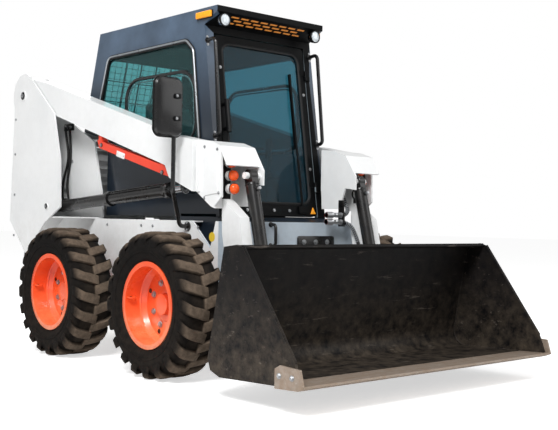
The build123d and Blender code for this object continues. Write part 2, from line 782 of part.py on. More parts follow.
def make_cab():
    shell = [
        (CAB_FRONT_LOW_Y, CAB_BOTTOM_Z),
        (CAB_BACK_Y, CAB_BOTTOM_Z),
        (CAB_BACK_Y, 1330),
        (CAB_REAR_LOW_Y, CAB_REAR_LOW_Z),
        (CAB_REAR_TOP_Y, ROOF_Z),
        (VISOR_Y, ROOF_Z),
        (VISOR_Y, VISOR_LIP_Z),
        (CAB_FRONT_TOP_Y, ROOF_BAND_Z),
    ]
    wall = CAB_WALL
    room = [
        (CAB_FRONT_LOW_Y - 200, CAB_BOTTOM_Z + wall),
        (CAB_BACK_Y - wall, CAB_BOTTOM_Z + wall),
        (CAB_BACK_Y - wall, 1330 + wall),
        (CAB_REAR_LOW_Y - wall - 10, CAB_REAR_LOW_Z + 20),
        (CAB_REAR_TOP_Y - wall, ROOF_Z - wall),
        (CAB_FRONT_TOP_Y + 5, ROOF_Z - wall),
        (CAB_FRONT_TOP_Y + 5, ROOF_BAND_Z - 5),
        (CAB_FRONT_LOW_Y - 200, ROOF_BAND_Z - 5),
    ]
    with BuildPart() as cab:
        slab(Plane.YZ.offset(-CAB_HALF), shell, 2 * CAB_HALF)
        slab(Plane.YZ.offset(-CAB_HALF + wall), room, 2 * (CAB_HALF - wall), mode=Mode.SUBTRACT)
        # Front frame round the door opening, in the leaning plane.
        with BuildSketch(FRONT) as profile:
            with Locations((0, FRONT_H / 2)):
                Rectangle(2 * (CAB_HALF - wall), FRONT_H)
        extrude(profile.sketch, amount=-DOOR_T)
        with BuildSketch(FRONT) as profile:
            with Locations((0, (SILL_H + FRONT_H - HEADER_H) / 2)):
                Rectangle(2 * DOOR_HALF, FRONT_H - HEADER_H - SILL_H)
        extrude(profile.sketch, amount=-DOOR_T - 4, mode=Mode.SUBTRACT)
        # Footwell below the door.
        slab(
            Plane.YZ.offset(-FOOTWELL_HALF),
            [
                (CHASSIS_FRONT_Y + PLATE_T, FOOTWELL_Z),
                (-100, FOOTWELL_Z),
                (-40, CAB_BOTTOM_Z),
                (CAB_FRONT_LOW_Y, CAB_BOTTOM_Z),
                (CHASSIS_FRONT_Y + PLATE_T, SHELF_Z - 4),
            ],
            2 * FOOTWELL_HALF,
        )
        slab(
            Plane.YZ.offset(-(FOOTWELL_HALF - wall)),
            [
                (CHASSIS_FRONT_Y + PLATE_T + wall, FOOTWELL_Z + wall),
                (-100 - wall / 2, FOOTWELL_Z + wall),
                (-40 - wall, CAB_BOTTOM_Z + wall),
                (CAB_FRONT_LOW_Y + 30, CAB_BOTTOM_Z + wall),
                (CAB_FRONT_LOW_Y + 30, CAB_BOTTOM_Z - 20),
                (CHASSIS_FRONT_Y + PLATE_T + wall, SHELF_Z - 40),
            ],
            2 * (FOOTWELL_HALF - wall),
            mode=Mode.SUBTRACT,
        )
        # Raised trim round the side windows, then the openings: both sides and the rear.
        for side in (RIGHT, LEFT):
            with BuildSketch(side_plane(side, CAB_HALF - 1)) as trim:
                with BuildLine():
                    Polyline(*WINDOW, close=True)
                make_face()
                fillet(trim.vertices(), WINDOW_R)
                offset(amount=WINDOW_TRIM_W)
            extrude(trim.sketch, amount=WINDOW_TRIM_T + 1, dir=(side, 0, 0))
        slab(
            Plane.YZ.offset(-CAB_HALF - WINDOW_TRIM_T - 1),
            WINDOW,
            2 * (CAB_HALF + WINDOW_TRIM_T + 1),
            mode=Mode.SUBTRACT,
            radius=WINDOW_R,
        )
        slab(REAR_WALL.offset(30), REAR_WINDOW, -80, mode=Mode.SUBTRACT, radius=40)
        # Guard bars behind the rear window.
        (left, low), (right, high) = REAR_WINDOW[0], REAR_WINDOW[2]
        for n in range(1, 5):
            x = left + (right - left) * n / 5
            slab(
                REAR_WALL.offset(1 - wall),
                [(x - 3, low - 8), (x + 3, low - 8), (x + 3, high + 8), (x - 3, high + 8)],
                -8,
            )
        for n in range(1, 3):
            v = low + (high - low) * n / 3
            slab(
                REAR_WALL.offset(1 - wall),
                [(left - 8, v - 3), (right + 8, v - 3), (right + 8, v + 3), (left - 8, v + 3)],
                -8,
            )
        # Grille in the visor's underside: staggered blind slots.
        for row in range(3):
            for n in range(VISOR_SLOTS - row % 2):
                x = (n - (VISOR_SLOTS - 1 - row % 2) / 2) * VISOR_SLOT_PITCH
                with BuildSketch(VISOR_UNDER) as slot:
                    with Locations((x, 34 + 27 * row)):
                        Rectangle(VISOR_SLOT_PITCH - 14, 17)
                extrude(slot.sketch, amount=-9, mode=Mode.SUBTRACT)
        # Round pockets for the work lamps under the visor.
        for side in (RIGHT, LEFT):
            with BuildSketch(Plane.XZ.offset(-LAMP_BACK_Y - SEAT_GAP)) as profile:
                with Locations((side * LAMP_X, LAMP_Z)):
                    Circle(LAMP_R + SEAT_GAP)
            extrude(profile.sketch, amount=LAMP_L + 20, mode=Mode.SUBTRACT)
        # Hinge knuckles and pins: the front door's on the left pillar, the hood's at the rear.
        for height in DOOR_HINGES:
            with BuildSketch(FRONT_ACROSS.offset(KNUCKLE_L - height)) as knuckle:
                with BuildLine():
                    Polyline(*DOOR_LEAF_FIXED, close=True)
                make_face()
                with Locations((DOOR_AXIS_X, DOOR_AXIS_OUT)):
                    Circle(KNUCKLE_R)
            extrude(knuckle.sketch, amount=KNUCKLE_L - 0.5, dir=FRONT.y_dir)
            with BuildSketch(FRONT_ACROSS.offset(KNUCKLE_L - height)) as knuckle:
                with Locations((DOOR_AXIS_X, DOOR_AXIS_OUT)):
                    Circle(KNUCKLE_PIN_R)
            extrude(knuckle.sketch, amount=2 * KNUCKLE_L, dir=FRONT.y_dir)
        for side in (RIGHT, LEFT):
            side_slab(
                side,
                HOOD_HINGE_X - KNUCKLE_L,
                HOOD_HINGE_X - 0.5,
                [
                    (HOOD_AXIS_Y, HOOD_AXIS_Z - KNUCKLE_R),
                    (HOOD_AXIS_Y, HOOD_AXIS_Z + KNUCKLE_R),
                    (CAB_REAR_LOW_Y - 12, HOOD_AXIS_Z + KNUCKLE_R),
                    (CAB_REAR_LOW_Y - 12, HOOD_AXIS_Z - KNUCKLE_R),
                ],
            )
            pin(side, HOOD_HINGE_X - KNUCKLE_L, HOOD_HINGE_X - 0.5, HOOD_AXIS_Y, HOOD_AXIS_Z, KNUCKLE_R)
            pin(
                side,
                HOOD_HINGE_X - KNUCKLE_L,
                HOOD_HINGE_X + KNUCKLE_L,
                HOOD_AXIS_Y,
                HOOD_AXIS_Z,
                KNUCKLE_PIN_R,
            )
    write(cab, "cab_frame")


def make_windows():
    with BuildPart() as windows:
        for side in (RIGHT, LEFT):
            side_slab(
                side,
                CAB_HALF - GLASS_INSET - GLASS_T,
                CAB_HALF - GLASS_INSET,
                WINDOW,
                radius=WINDOW_R,
            )
        slab(REAR_WALL.offset(-GLASS_INSET), REAR_WINDOW, -GLASS_T, radius=40)
    write(windows, "cab_windows")


def make_door():
    low, high = SILL_H + DOOR_GAP, FRONT_H - HEADER_H - DOOR_GAP
    half = DOOR_HALF - DOOR_GAP
    with BuildPart() as frame:
        with BuildSketch(FRONT) as profile:
            with Locations((0, (low + high) / 2)):
                RectangleRounded(2 * half, high - low, 24)
            with Locations((0, (low + DOOR_SILL + high - DOOR_RAIL) / 2)):
                RectangleRounded(
                    2 * (half - DOOR_RAIL), high - low - DOOR_SILL - DOOR_RAIL, 60, mode=Mode.SUBTRACT
                )
        extrude(profile.sketch, amount=-DOOR_T)
        # Pull handle near the free edge, and the wiper with its arm.
        for v in (500.0, 640.0):
            with BuildSketch(FRONT.offset(-1)) as post:
                with Locations((-half + 24, v)):
                    Rectangle(16, 16)
            extrude(post.sketch, amount=36)
        with BuildSketch(FRONT.offset(27)) as grip:
            with Locations((-half + 24, 570)):
                Rectangle(22, 190)
        extrude(grip.sketch, amount=16)
        with BuildSketch(FRONT.offset(-1)) as motor:
            with Locations((half - 120, low + DOOR_SILL / 2)):
                Rectangle(60, 44)
        extrude(motor.sketch, amount=12)
        slab(
            FRONT.offset(5),
            [
                (half - 127, low + DOOR_SILL / 2),
                (half - 113, low + DOOR_SILL / 2),
                (half - 124, high - 323),
                (half - 134, high - 323),
            ],
            6,
        )
        slab(
            FRONT.offset(-8),
            [
                (half - 133, high - 633),
                (half - 122, high - 633),
                (half - 122, high - 173),
                (half - 133, high - 173),
            ],
            17,
        )
        for height in DOOR_HINGES:
            with BuildSketch(FRONT_ACROSS.offset(-height)) as knuckle:
                with BuildLine():
                    Polyline(*DOOR_LEAF_MOVING, close=True)
                make_face()
                with Locations((DOOR_AXIS_X, DOOR_AXIS_OUT)):
                    Circle(KNUCKLE_R)
                    Circle(KNUCKLE_PIN_R + PIN_FIT, mode=Mode.SUBTRACT)
            extrude(knuckle.sketch, amount=KNUCKLE_L, dir=FRONT.y_dir)
    write(frame, "door_frame")
    with BuildPart() as glass:
        with BuildSketch(FRONT.offset(-10)) as profile:
            with Locations((0, (low + DOOR_SILL + high - DOOR_RAIL) / 2)):
                RectangleRounded(2 * (half - DOOR_RAIL), high - low - DOOR_SILL - DOOR_RAIL, 60)
        extrude(profile.sketch, amount=-GLASS_T)
    write(glass, "door_glass")


def make_seat():
    floor = CAB_BOTTOM_Z + CAB_WALL
    with BuildPart() as base:
        with Locations((0, 400, floor)):
            Box(2 * SEAT_HALF - 50, 420, SEAT_BASE_H, align=(Align.CENTER, Align.CENTER, Align.MIN))
    write(base, "seat_base")
    top = floor + SEAT_BASE_H + SEAT_H
    with BuildPart() as seat:
        with Locations((0, 390, floor + SEAT_BASE_H)):
            Box(2 * SEAT_HALF, 470, SEAT_H, align=(Align.CENTER, Align.CENTER, Align.MIN))
        chamfer(seat.edges(), 24)
    write(seat, "seat_cushion")
    with BuildPart() as back:
        slab(
            Plane.YZ.offset(-SEAT_HALF + 15),
            [
                (560, top + SEAT_GAP),
                (700, top + SEAT_GAP),
                (730, top + 535),
                (650, top + 535),
                (610, top + 400),
            ],
            2 * SEAT_HALF - 30,
        )
        chamfer(back.edges().filter_by(lambda e: abs(abs(e.center().X) - SEAT_HALF + 15) < 1), 24)
    write(back, "seat_back")


def make_controls():
    floor = CAB_BOTTOM_Z + CAB_WALL
    with BuildPart() as levers:
        for side in (RIGHT, LEFT):
            with Locations((side * CONSOLE_X, 120, floor)):
                Box(CONSOLE_W, 300, 230, align=(Align.CENTER, Align.CENTER, Align.MIN))
            with Locations((side * CONSOLE_X, 20, floor + 229)):
                Cylinder(12, 131, align=(Align.CENTER, Align.CENTER, Align.MIN))
            with Locations((side * CONSOLE_X, 20, floor + 359)):
                Cylinder(24, 131, align=(Align.CENTER, Align.CENTER, Align.MIN))
    write(levers, "control_levers")


def make_lamps():
    with BuildPart() as lamps:
        for side in (RIGHT, LEFT):
            with BuildSketch(Plane.XZ.offset(-LAMP_BACK_Y)) as profile:
                with Locations((side * LAMP_X, LAMP_Z)):
                    Circle(LAMP_R)
            extrude(profile.sketch, amount=LAMP_L)
    write(lamps, "work_lamps")
    with BuildPart() as markers:
        for side in (RIGHT, LEFT):
            side_slab(
                side,
                CAB_HALF,
                CAB_HALF + 22,
                [
                    (MARKER_Y - 70, ROOF_Z - 62),
                    (MARKER_Y + 70, ROOF_Z - 62),
                    (MARKER_Y + 70, ROOF_Z - 22),
                    (MARKER_Y - 70, ROOF_Z - 22),
                ],
            )
            # Tail lamps on the bumper's cheeks.
            with Locations((side * (CHASSIS_HALF - BUMPER_CHEEK / 2), REAR_Y + SEAT_GAP, 700)):
                Box(34, 14, 110, align=(Align.CENTER, Align.MIN, Align.CENTER))
    write(markers, "marker_lamps")


def make_handles():
    with BuildPart() as handles:
        for side in (RIGHT, LEFT):
            x = side * (CAB_HALF - 12)
            top = FRONT_H - 93
            run = [(x, top, SEAT_GAP), (x, top, 72), (x, 455, 48), (x, 455, SEAT_GAP)]
            tube([FRONT.from_local_coords(point) for point in run], [28, 30], 11)
    write(handles, "grab_handles")


def make_mirror():
    pole_x = -CHASSIS_HALF - 162
    with BuildPart() as mirror:
        tube(
            [
                (-CHASSIS_HALF - SEAT_GAP, -285, 795),
                (-CHASSIS_HALF - 55, -285, 795),
                (pole_x, -365, 985),
                (pole_x, -365, 1470),
            ],
            [30, 60],
            12,
        )
        with BuildSketch(Plane.XZ.offset(368)) as head:
            with Locations((pole_x - 46, 1430)):
                RectangleRounded(182, 315, 32)
        extrude(head.sketch, amount=28)
    write(mirror, "side_mirror")


# ------------------------------------------------------------------ boom
SLOPE_T = sin(radians(ARM_SLOPE)) / cos(radians(ARM_SLOPE))
ARM_V = ARM_DEPTH / cos(radians(ARM_SLOPE))
ARM_TOP_AT_PIVOT = 1803.0
KNEE_REAR_Y = -226.0


def arm_top(y):
    return ARM_TOP_AT_PIVOT - (PIVOT_Y - y) * SLOPE_T


def make_arm(side):
    with BuildPart() as arm:
        # Upper beam with its round end about the pivot.
        with BuildSketch(side_plane(side, ARM_INNER)) as profile:
            with BuildLine():
                Polyline(
                    (PIVOT_Y, arm_top(PIVOT_Y) - 22),
                    (PIVOT_Y - 300, arm_top(PIVOT_Y - 300)),
                    (-40, arm_top(-40)),
                    (-50, 1312),
                    (KNEE_REAR_Y, 1301),
                    (-442, 1262),
                    (-442, 985),
                    (KNEE_REAR_Y, 1062),
                    (-184, 1133),
                    (PIVOT_Y - 300, arm_top(PIVOT_Y - 300) - ARM_V),
                    (PIVOT_Y, PIVOT_Z - ARM_BOSS_R),
                    close=True,
                )
            make_face()
            with Locations((PIVOT_Y, PIVOT_Z)):
                Circle(ARM_BOSS_R)
        extrude(profile.sketch, amount=ARM_W, dir=(side, 0, 0))
        # Knee box behind the lamp wall.
        side_slab(
            side,
            LEG_INNER,
            KNEE_OUTER,
            [(-430, 1264), (-548, 1252), (-592, 1238), (-592, 895), (-560, 905), (-430, 985)],
        )
        # Outer and inner cheeks, and the hood plate over the lamps and the cylinder.
        side_slab(
            side,
            KNEE_OUTER - KNEE_T,
            KNEE_OUTER,
            [(-590, 1238), (-642, 1222), (KNEE_FRONT_Y, 954), (-590, 905)],
        )
        side_slab(
            side,
            KNEE_INNER,
            KNEE_INNER + KNEE_T,
            [
                (-440, 1262),
                (-548, 1252),
                (-642, 1222),
                (-725, 1100),
                (-725, 1020),
                (-643, 1030),
                (-612, 944),
                (-608, 908),
                (-450, 908),
                (-440, 1060),
            ],
        )
        side_slab(
            side,
            KNEE_INNER,
            KNEE_OUTER,
            [
                (-440, 1262),
                (-548, 1252),
                (-642, 1222),
                (-700, 1120),
                (-690, 1116),
                (-634, 1210),
                (-548, 1240),
                (-440, 1250),
            ],
        )
        # Rib and raised panel on the outer cheek.
        side_slab(
            side,
            KNEE_OUTER - 1,
            KNEE_OUTER + 20,
            [(-452, 1236), (-466, 1236), (-466, 985), (-452, 985)],
        )
        side_slab(
            side,
            KNEE_OUTER - 1,
            KNEE_OUTER + 4,
            [(-486, 1200), (-610, 1180), (-618, 975), (-500, 960)],
        )
        side_slab(side, KNEE_INNER, LEG_INNER, [(-440, 1262), (-460, 1260), (-460, 1015), (-440, 1015)])
        # Leg down to the bucket hinge.
        with BuildSketch(side_plane(side, LEG_INNER)) as profile:
            with BuildLine():
                Polyline(
                    (-560, 945),
                    (-600, 945),
                    (-735, 850),
                    (-769, 702),
                    (HINGE_Y - LEG_END_R, HINGE_Z),
                    (HINGE_Y + LEG_END_R, HINGE_Z),
                    (-620, 640),
                    (-592, 760),
                    (-588, 850),
                    (-588, 900),
                    (-560, 906),
                    close=True,
                )
            make_face()
            with Locations((HINGE_Y, HINGE_Z)):
                Circle(LEG_END_R)
        extrude(profile.sketch, amount=LEG_W, dir=(side, 0, 0))
        # Pins and bores.
        pin(side, ARM_INNER, ARM_OUTER, PIVOT_Y, PIVOT_Z, BOOM_PIN_R + PIN_FIT, mode=Mode.SUBTRACT)
        pin(side, LEG_INNER, LEG_OUTER, HINGE_Y, HINGE_Z, HINGE_PIN_R + PIN_FIT, mode=Mode.SUBTRACT)
        pin(side, KNEE_INNER + KNEE_T, LEG_INNER, TILT_TOP_Y, TILT_TOP_Z, TILT_PIN_R)
        # Clevis for the lift cylinder's rod.
        side_slab(
            side,
            LIFT_X - LIFT_EYE_W / 2 - RUN_GAP,
            LIFT_X + LIFT_EYE_W / 2 + RUN_GAP,
            [
                (-240, 1040),
                (-445, 970),
                (-445, 1085),
                (-240, 1085),
            ],
            mode=Mode.SUBTRACT,
        )
    write(arm, f"boom_arm_{SIDE_NAMES[side]}")


def make_cross_tube():
    with BuildPart() as cross:
        with BuildSketch(Plane.YZ.offset(-LEG_INNER)):
            with Locations((CROSS_TUBE_Y, CROSS_TUBE_Z)):
                Circle(CROSS_TUBE_R)
        extrude(amount=2 * LEG_INNER)
    write(cross, "boom_cross_tube")


# ------------------------------------------------------------------ cylinders
def cylinder_plane(side, x, base_y, base_z, eye_y, eye_z):
    """The plane across a cylinder at its base pin, with its normal along the rod."""
    return Plane(
        origin=(side * x, base_y, base_z),
        x_dir=(1, 0, 0),
        z_dir=(0, eye_y - base_y, eye_z - base_z),
    )


def make_cylinder(
    side, names, x, base, eye, barrel_r, barrel_end, rod_r, rod_l, spare, pin_r, eye_w, collar=0.0
):
    plane = cylinder_plane(side, x, *base, *eye)
    length = hypot(eye[0] - base[0], eye[1] - base[1])
    eye_r = pin_r + 16
    with BuildPart() as barrel:
        with BuildSketch(plane.offset(eye_r + 6)) as section:
            Circle(barrel_r)
        extrude(section.sketch, amount=barrel_end - eye_r - 6)
        with BuildSketch(plane.offset(barrel_end - 50)) as section:
            Circle(barrel_r + 6)
        extrude(section.sketch, amount=50)
        with BuildSketch(plane.offset(eye_r * 0.4)) as section:
            Rectangle(eye_w, 2 * eye_r - 8)
        extrude(section.sketch, amount=eye_r)
        if collar:
            # Clamp band round the barrel and the two steel lines from it to the gland.
            with BuildSketch(plane.offset(collar)) as section:
                Circle(barrel_r + 9)
            extrude(section.sketch, amount=34)
            with BuildSketch(plane.offset(collar + 10)) as section:
                first = 65 if side == LEFT else 115
                with PolarLocations(barrel_r + 5, 2, start_angle=first, angular_range=50):
                    RegularPolygon(4.5, 6)
            extrude(section.sketch, amount=barrel_end - collar - 40)
        pin(side, x - eye_w / 2, x + eye_w / 2, *base, eye_r)
        pin(side, x - eye_w / 2, x + eye_w / 2, *base, pin_r + PIN_FIT, mode=Mode.SUBTRACT)
        with BuildSketch(plane.offset(length - rod_l - spare)) as section:
            Circle(rod_r + PIN_FIT)
        extrude(section.sketch, amount=rod_l + spare, mode=Mode.SUBTRACT)
    write(barrel, names[0])
    with BuildPart() as rod:
        with BuildSketch(plane.offset(length - rod_l)) as section:
            Circle(rod_r)
        extrude(section.sketch, amount=rod_l - eye_r * 0.6)
        pin(side, x - eye_w / 2, x + eye_w / 2, *eye, eye_r)
        pin(side, x - eye_w / 2, x + eye_w / 2, *eye, pin_r, mode=Mode.SUBTRACT)
    write(rod, names[1])


# ------------------------------------------------------------------ bucket
HEEL_Y, HEEL_Z = -985.0, 106.0
BACK_TOP_Y, BACK_TOP_Z = -1108.0, 716.0
LIP_Y = -1226.0
FLOOR_Y, FLOOR_Z = -1480.0, 128.0
EDGE_T = 20.0
EDGE_TOP_Z = FLOOR_Z + BUCKET_PLATE / 2
EDGE_TIP_TOP_Z = BUCKET_TIP_Z + 7
SIDE_FRONT = [(-1245, 711), (-1605, 234), (-1640, EDGE_TIP_TOP_Z + 1)]


def make_bucket():
    half = BUCKET_W / 2 - CORNER_BIT_T
    inner = half - BUCKET_PLATE
    t = BUCKET_PLATE
    with BuildPart() as bucket:
        bent_plate(
            Plane.YZ.offset(-inner),
            [
                (FLOOR_Y, FLOOR_Z),
                (HEEL_Y - t / 2, HEEL_Z + t / 2),
                (BACK_TOP_Y - t / 2, BACK_TOP_Z - t / 2),
                (LIP_Y, BACK_TOP_Z + 2),
            ],
            [90, 20],
            t,
            2 * inner,
        )
        for side in (RIGHT, LEFT):
            side_slab(
                side,
                inner,
                half,
                [
                    (FLOOR_Y, EDGE_TOP_Z + SEAT_GAP),
                    (FLOOR_Y, FLOOR_Z - t / 2),
                    (HEEL_Y - 100, HEEL_Z),
                    (HEEL_Y - 30, HEEL_Z + 25),
                    (HEEL_Y - 10, HEEL_Z + 80),
                    (BACK_TOP_Y + 3, BACK_TOP_Z - 4),
                    (BACK_TOP_Y - 90, BACK_TOP_Z + 8),
                    *SIDE_FRONT,
                ],
            )
    write(bucket, "bucket_shell")
    with BuildPart() as edge:
        slab(
            Plane.YZ.offset(-half - CORNER_BIT_T / 2),
            [
                (BUCKET_TIP_Y, BUCKET_TIP_Z),
                (BUCKET_TIP_Y + 34, BUCKET_TIP_Z - 15),
                (FLOOR_Y - SEAT_GAP, EDGE_TOP_Z - EDGE_T),
                (FLOOR_Y - SEAT_GAP, EDGE_TOP_Z),
                (BUCKET_TIP_Y + 8, EDGE_TIP_TOP_Z),
            ],
            2 * half + CORNER_BIT_T,
        )
        for side in (RIGHT, LEFT):
            # Bolted corner bit over the side plate's foot.
            side_slab(
                side,
                half + SEAT_GAP,
                half + CORNER_BIT_T,
                [
                    (BUCKET_TIP_Y + 34, BUCKET_TIP_Z - 15),
                    (FLOOR_Y - 8, EDGE_TOP_Z - EDGE_T),
                    (FLOOR_Y - 8, EDGE_TOP_Z + 66),
                    (FLOOR_Y - 40, EDGE_TOP_Z + 84),
                    (BUCKET_TIP_Y + 24, EDGE_TOP_Z + 78),
                    (BUCKET_TIP_Y, BUCKET_TIP_Z),
                ],
            )
    write(edge, "cutting_edge")


def make_hitch():
    with BuildPart() as hitch:
        slope = degrees(atan2(HEEL_Y - BACK_TOP_Y, BACK_TOP_Z - HEEL_Z))
        back = Plane(
            origin=(0, HEEL_Y + 1, HEEL_Z),
            x_dir=(-1, 0, 0),
            z_dir=(0, cos(radians(slope)), sin(radians(slope))),
        )
        reach = LEG_OUTER + 40
        slab(back, [(-reach, 110), (reach, 110), (reach, 520), (-reach, 520)], 16)
        for side in (RIGHT, LEFT):
            for x in (TILT_X - 39, LEG_INNER - 18, LEG_OUTER + 6):
                with BuildSketch(side_plane(side, x)) as ear:
                    with BuildLine():
                        Polyline(
                            (-1000, 216),
                            (HINGE_Y, HINGE_Z - 55),
                            (HINGE_Y + 50, HINGE_Z),
                            (TILT_EYE_Y + 40, TILT_EYE_Z + 20),
                            (TILT_EYE_Y, TILT_EYE_Z + 44),
                            (-1068, 560),
                            close=True,
                        )
                    make_face()
                extrude(ear.sketch, amount=12, dir=(side, 0, 0))
            pin(side, LEG_INNER - 18, LEG_OUTER + 24, HINGE_Y, HINGE_Z, HINGE_PIN_R)
    write(hitch, "hitch_frame")


# ------------------------------------------------------------------ fittings
def make_knee_lamps():
    """Three round lamps one above the other in front of each knee's wall."""
    with BuildPart() as lamps:
        for side in (RIGHT, LEFT):
            for x, z, length in KNEE_LAMPS:
                with BuildSketch(Plane.XZ.offset(-KNEE_WALL_Y + 2 + SEAT_GAP)) as profile:
                    with Locations((side * x, z)):
                        Circle(KNEE_LAMP_R)
                extrude(profile.sketch, amount=length)
    write(lamps, "knee_lamps")


def arm_underside(y):
    """Height of the upper arm's lower face."""
    return arm_top(y) - ARM_V


def make_brace():
    """The bar that holds the boom up for service, clipped under the right arm."""
    with BuildPart() as brace:
        side_slab(RIGHT, BRACE_IN, BRACE_OUT, BRACE)
        # Hollowed from above: the bar is a folded channel.
        side_slab(
            RIGHT,
            BRACE_IN + 6,
            BRACE_OUT - 6,
            [(500, 1318), (500, 1262), (-120, 1102), (-120, 1170)],
            mode=Mode.SUBTRACT,
        )
        for y in (-162.0, 506.0):
            top = [(y, arm_underside(y) - SEAT_GAP), (y + 34, arm_underside(y + 34) - SEAT_GAP)]
            low = [(y + 34, arm_underside(y + 34) - 60), (y, arm_underside(y) - 60)]
            side_slab(RIGHT, BRACE_IN, BRACE_OUT, [*top, *low])
    write(brace, "arm_brace")


def make_hoses():
    """Two couplers on a bracket at the left knee's inner cheek, with their hoses."""
    wall = KNEE_INNER - SEAT_GAP
    with BuildPart() as hoses:
        side_slab(
            LEFT,
            wall - 10,
            wall,
            [(-600, 806), (-650, 806), (-640, 960), (-600, 960)],
        )
        for z in COUPLER_Z:
            pin(LEFT, wall - 130, wall - 9, COUPLER_Y, z, COUPLER_R)
            pin(LEFT, wall - 130, wall - 84, COUPLER_Y, z, COUPLER_R + 5)
        low, high = COUPLER_Z
        tube(
            [
                (wall - 5, COUPLER_Y, high),
                (wall + 62, COUPLER_Y, high + 8),
                (wall + 74, COUPLER_Y + 62, high + 96),
                (wall + 74, COUPLER_Y + 84, high + 168),
                (wall + 74, -460 - SEAT_GAP, high + 168),
            ],
            [34, 50, 26],
            HOSE_R,
            flats=6,
        )
        tube(
            [
                (wall - 5, COUPLER_Y, low),
                (wall + 70, COUPLER_Y, low - 8),
                (wall + 92, COUPLER_Y - 30, low - 84),
                (wall + 92, COUPLER_Y - 56, low - 150),
            ],
            [34, 40],
            HOSE_R,
            flats=6,
        )
        pin(LEFT, wall + 90, LEG_INNER - SEAT_GAP, COUPLER_Y - 56, low - 140, HOSE_R + 5)
    write(hoses, "arm_hoses")


def make_front_guard():
    """Bolted cover plate and tube loop on the chassis's front wall."""
    face = -CHASSIS_FRONT_Y + SEAT_GAP
    with BuildPart() as guard:
        slab(
            Plane.XZ.offset(face),
            [(47, 600), (KNEE_INNER - 8, 600), (KNEE_INNER - 8, 749), (47, 749)],
            8,
        )
        for x in (95.0, 187.0, 279.0):
            with BuildSketch(Plane.XZ.offset(face + 7)) as bolt:
                with Locations((x, 714)):
                    RegularPolygon(11, 6)
            extrude(bolt.sketch, amount=8)
        x = -153.0
        loop = [(x, -face, 812), (x, -face - 44, 812), (x, -face - 44, 694), (x, -face, 694)]
        tube(loop, [22, 22], 9, flats=6)
    write(guard, "front_guard")


# ------------------------------------------------------------------ build everything
make_tyres()
make_rims()
make_axles()
make_chassis()
for side in (RIGHT, LEFT):
    make_tower(side)
    make_arm(side)
    label = SIDE_NAMES[side]
    make_cylinder(
        side,
        (f"lift_barrel_{label}", f"lift_rod_{label}"),
        LIFT_X,
        (LIFT_BASE_Y, LIFT_BASE_Z),
        (LIFT_EYE_Y, LIFT_EYE_Z),
        LIFT_BARREL_R,
        LIFT_BARREL_END,
        LIFT_ROD_R,
        LIFT_ROD_L,
        LIFT_SPARE,
        LIFT_PIN_R,
        LIFT_EYE_W,
        LIFT_COLLAR,
    )
    make_cylinder(
        side,
        (f"tilt_barrel_{label}", f"tilt_rod_{label}"),
        TILT_X,
        (TILT_TOP_Y, TILT_TOP_Z),
        (TILT_EYE_Y, TILT_EYE_Z),
        TILT_BARREL_R,
        TILT_BARREL_END,
        TILT_ROD_R,
        TILT_ROD_L,
        TILT_SPARE,
        TILT_PIN_R,
        TILT_EYE_W,
    )
make_cross_tube()
make_bumper()
make_tailgate()
make_hood()
make_engine()
make_cab()
make_windows()
make_door()
make_seat()
make_controls()
make_lamps()
make_handles()
make_mirror()
make_bucket()
make_hitch()
make_knee_lamps()
make_brace()
make_hoses()
make_front_guard()
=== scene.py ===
"""Finishes and fine detail for a skid steer loader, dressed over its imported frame."""

import json
import logging
import math
from dataclasses import dataclass, field
from enum import Enum
from typing import Any, Callable, Optional, Sequence

import bmesh
import bpy
from mathutils import Matrix, Vector

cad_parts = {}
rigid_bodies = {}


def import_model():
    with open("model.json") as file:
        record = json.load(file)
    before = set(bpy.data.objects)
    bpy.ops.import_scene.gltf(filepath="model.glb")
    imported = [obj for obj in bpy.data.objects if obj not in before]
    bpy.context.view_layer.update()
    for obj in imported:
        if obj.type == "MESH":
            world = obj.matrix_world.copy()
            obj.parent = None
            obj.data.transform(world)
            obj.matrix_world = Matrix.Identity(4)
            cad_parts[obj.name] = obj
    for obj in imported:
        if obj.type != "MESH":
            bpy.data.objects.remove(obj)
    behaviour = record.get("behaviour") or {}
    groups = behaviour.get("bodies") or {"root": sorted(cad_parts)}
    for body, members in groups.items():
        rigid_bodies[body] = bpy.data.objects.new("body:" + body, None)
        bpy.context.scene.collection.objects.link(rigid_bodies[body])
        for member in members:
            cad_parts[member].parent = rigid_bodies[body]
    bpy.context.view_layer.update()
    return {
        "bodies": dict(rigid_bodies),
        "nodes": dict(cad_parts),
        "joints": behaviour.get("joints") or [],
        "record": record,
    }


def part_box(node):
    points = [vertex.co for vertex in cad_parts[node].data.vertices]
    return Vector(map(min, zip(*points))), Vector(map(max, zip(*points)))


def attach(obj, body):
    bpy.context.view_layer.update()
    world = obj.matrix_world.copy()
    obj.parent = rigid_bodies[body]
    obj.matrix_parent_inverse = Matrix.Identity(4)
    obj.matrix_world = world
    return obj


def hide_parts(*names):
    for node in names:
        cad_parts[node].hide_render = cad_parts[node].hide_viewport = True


LOG = logging.getLogger("loader")
Point = Sequence[float]


class Side(Enum):
    """The machine's right and left; its left is +X."""

    RIGHT = -1
    LEFT = 1

    @property
    def word(self) -> str:
        """The side's name as nodes carry it.

        Returns:
            The word in small letters.
        """
        return self.name.lower()

    @property
    def out(self) -> Vector:
        """Way out from the machine on this side.

        Returns:
            A vector of one metre.
        """
        return Vector((self.value, 0, 0))

    def at(self, x: float, y: float, z: float) -> Vector:
        """Make a point on this side, in metres from millimetres.

        Args:
            x: Millimetres out from the machine's middle.
            y: Millimetres to its rear.
            z: Millimetres above the ground.

        Returns:
            The point.
        """
        return vec(self.value * x, y, z)


SIDES = (Side.RIGHT, Side.LEFT)


# ------------------------------------------------------------------ nodes and colours


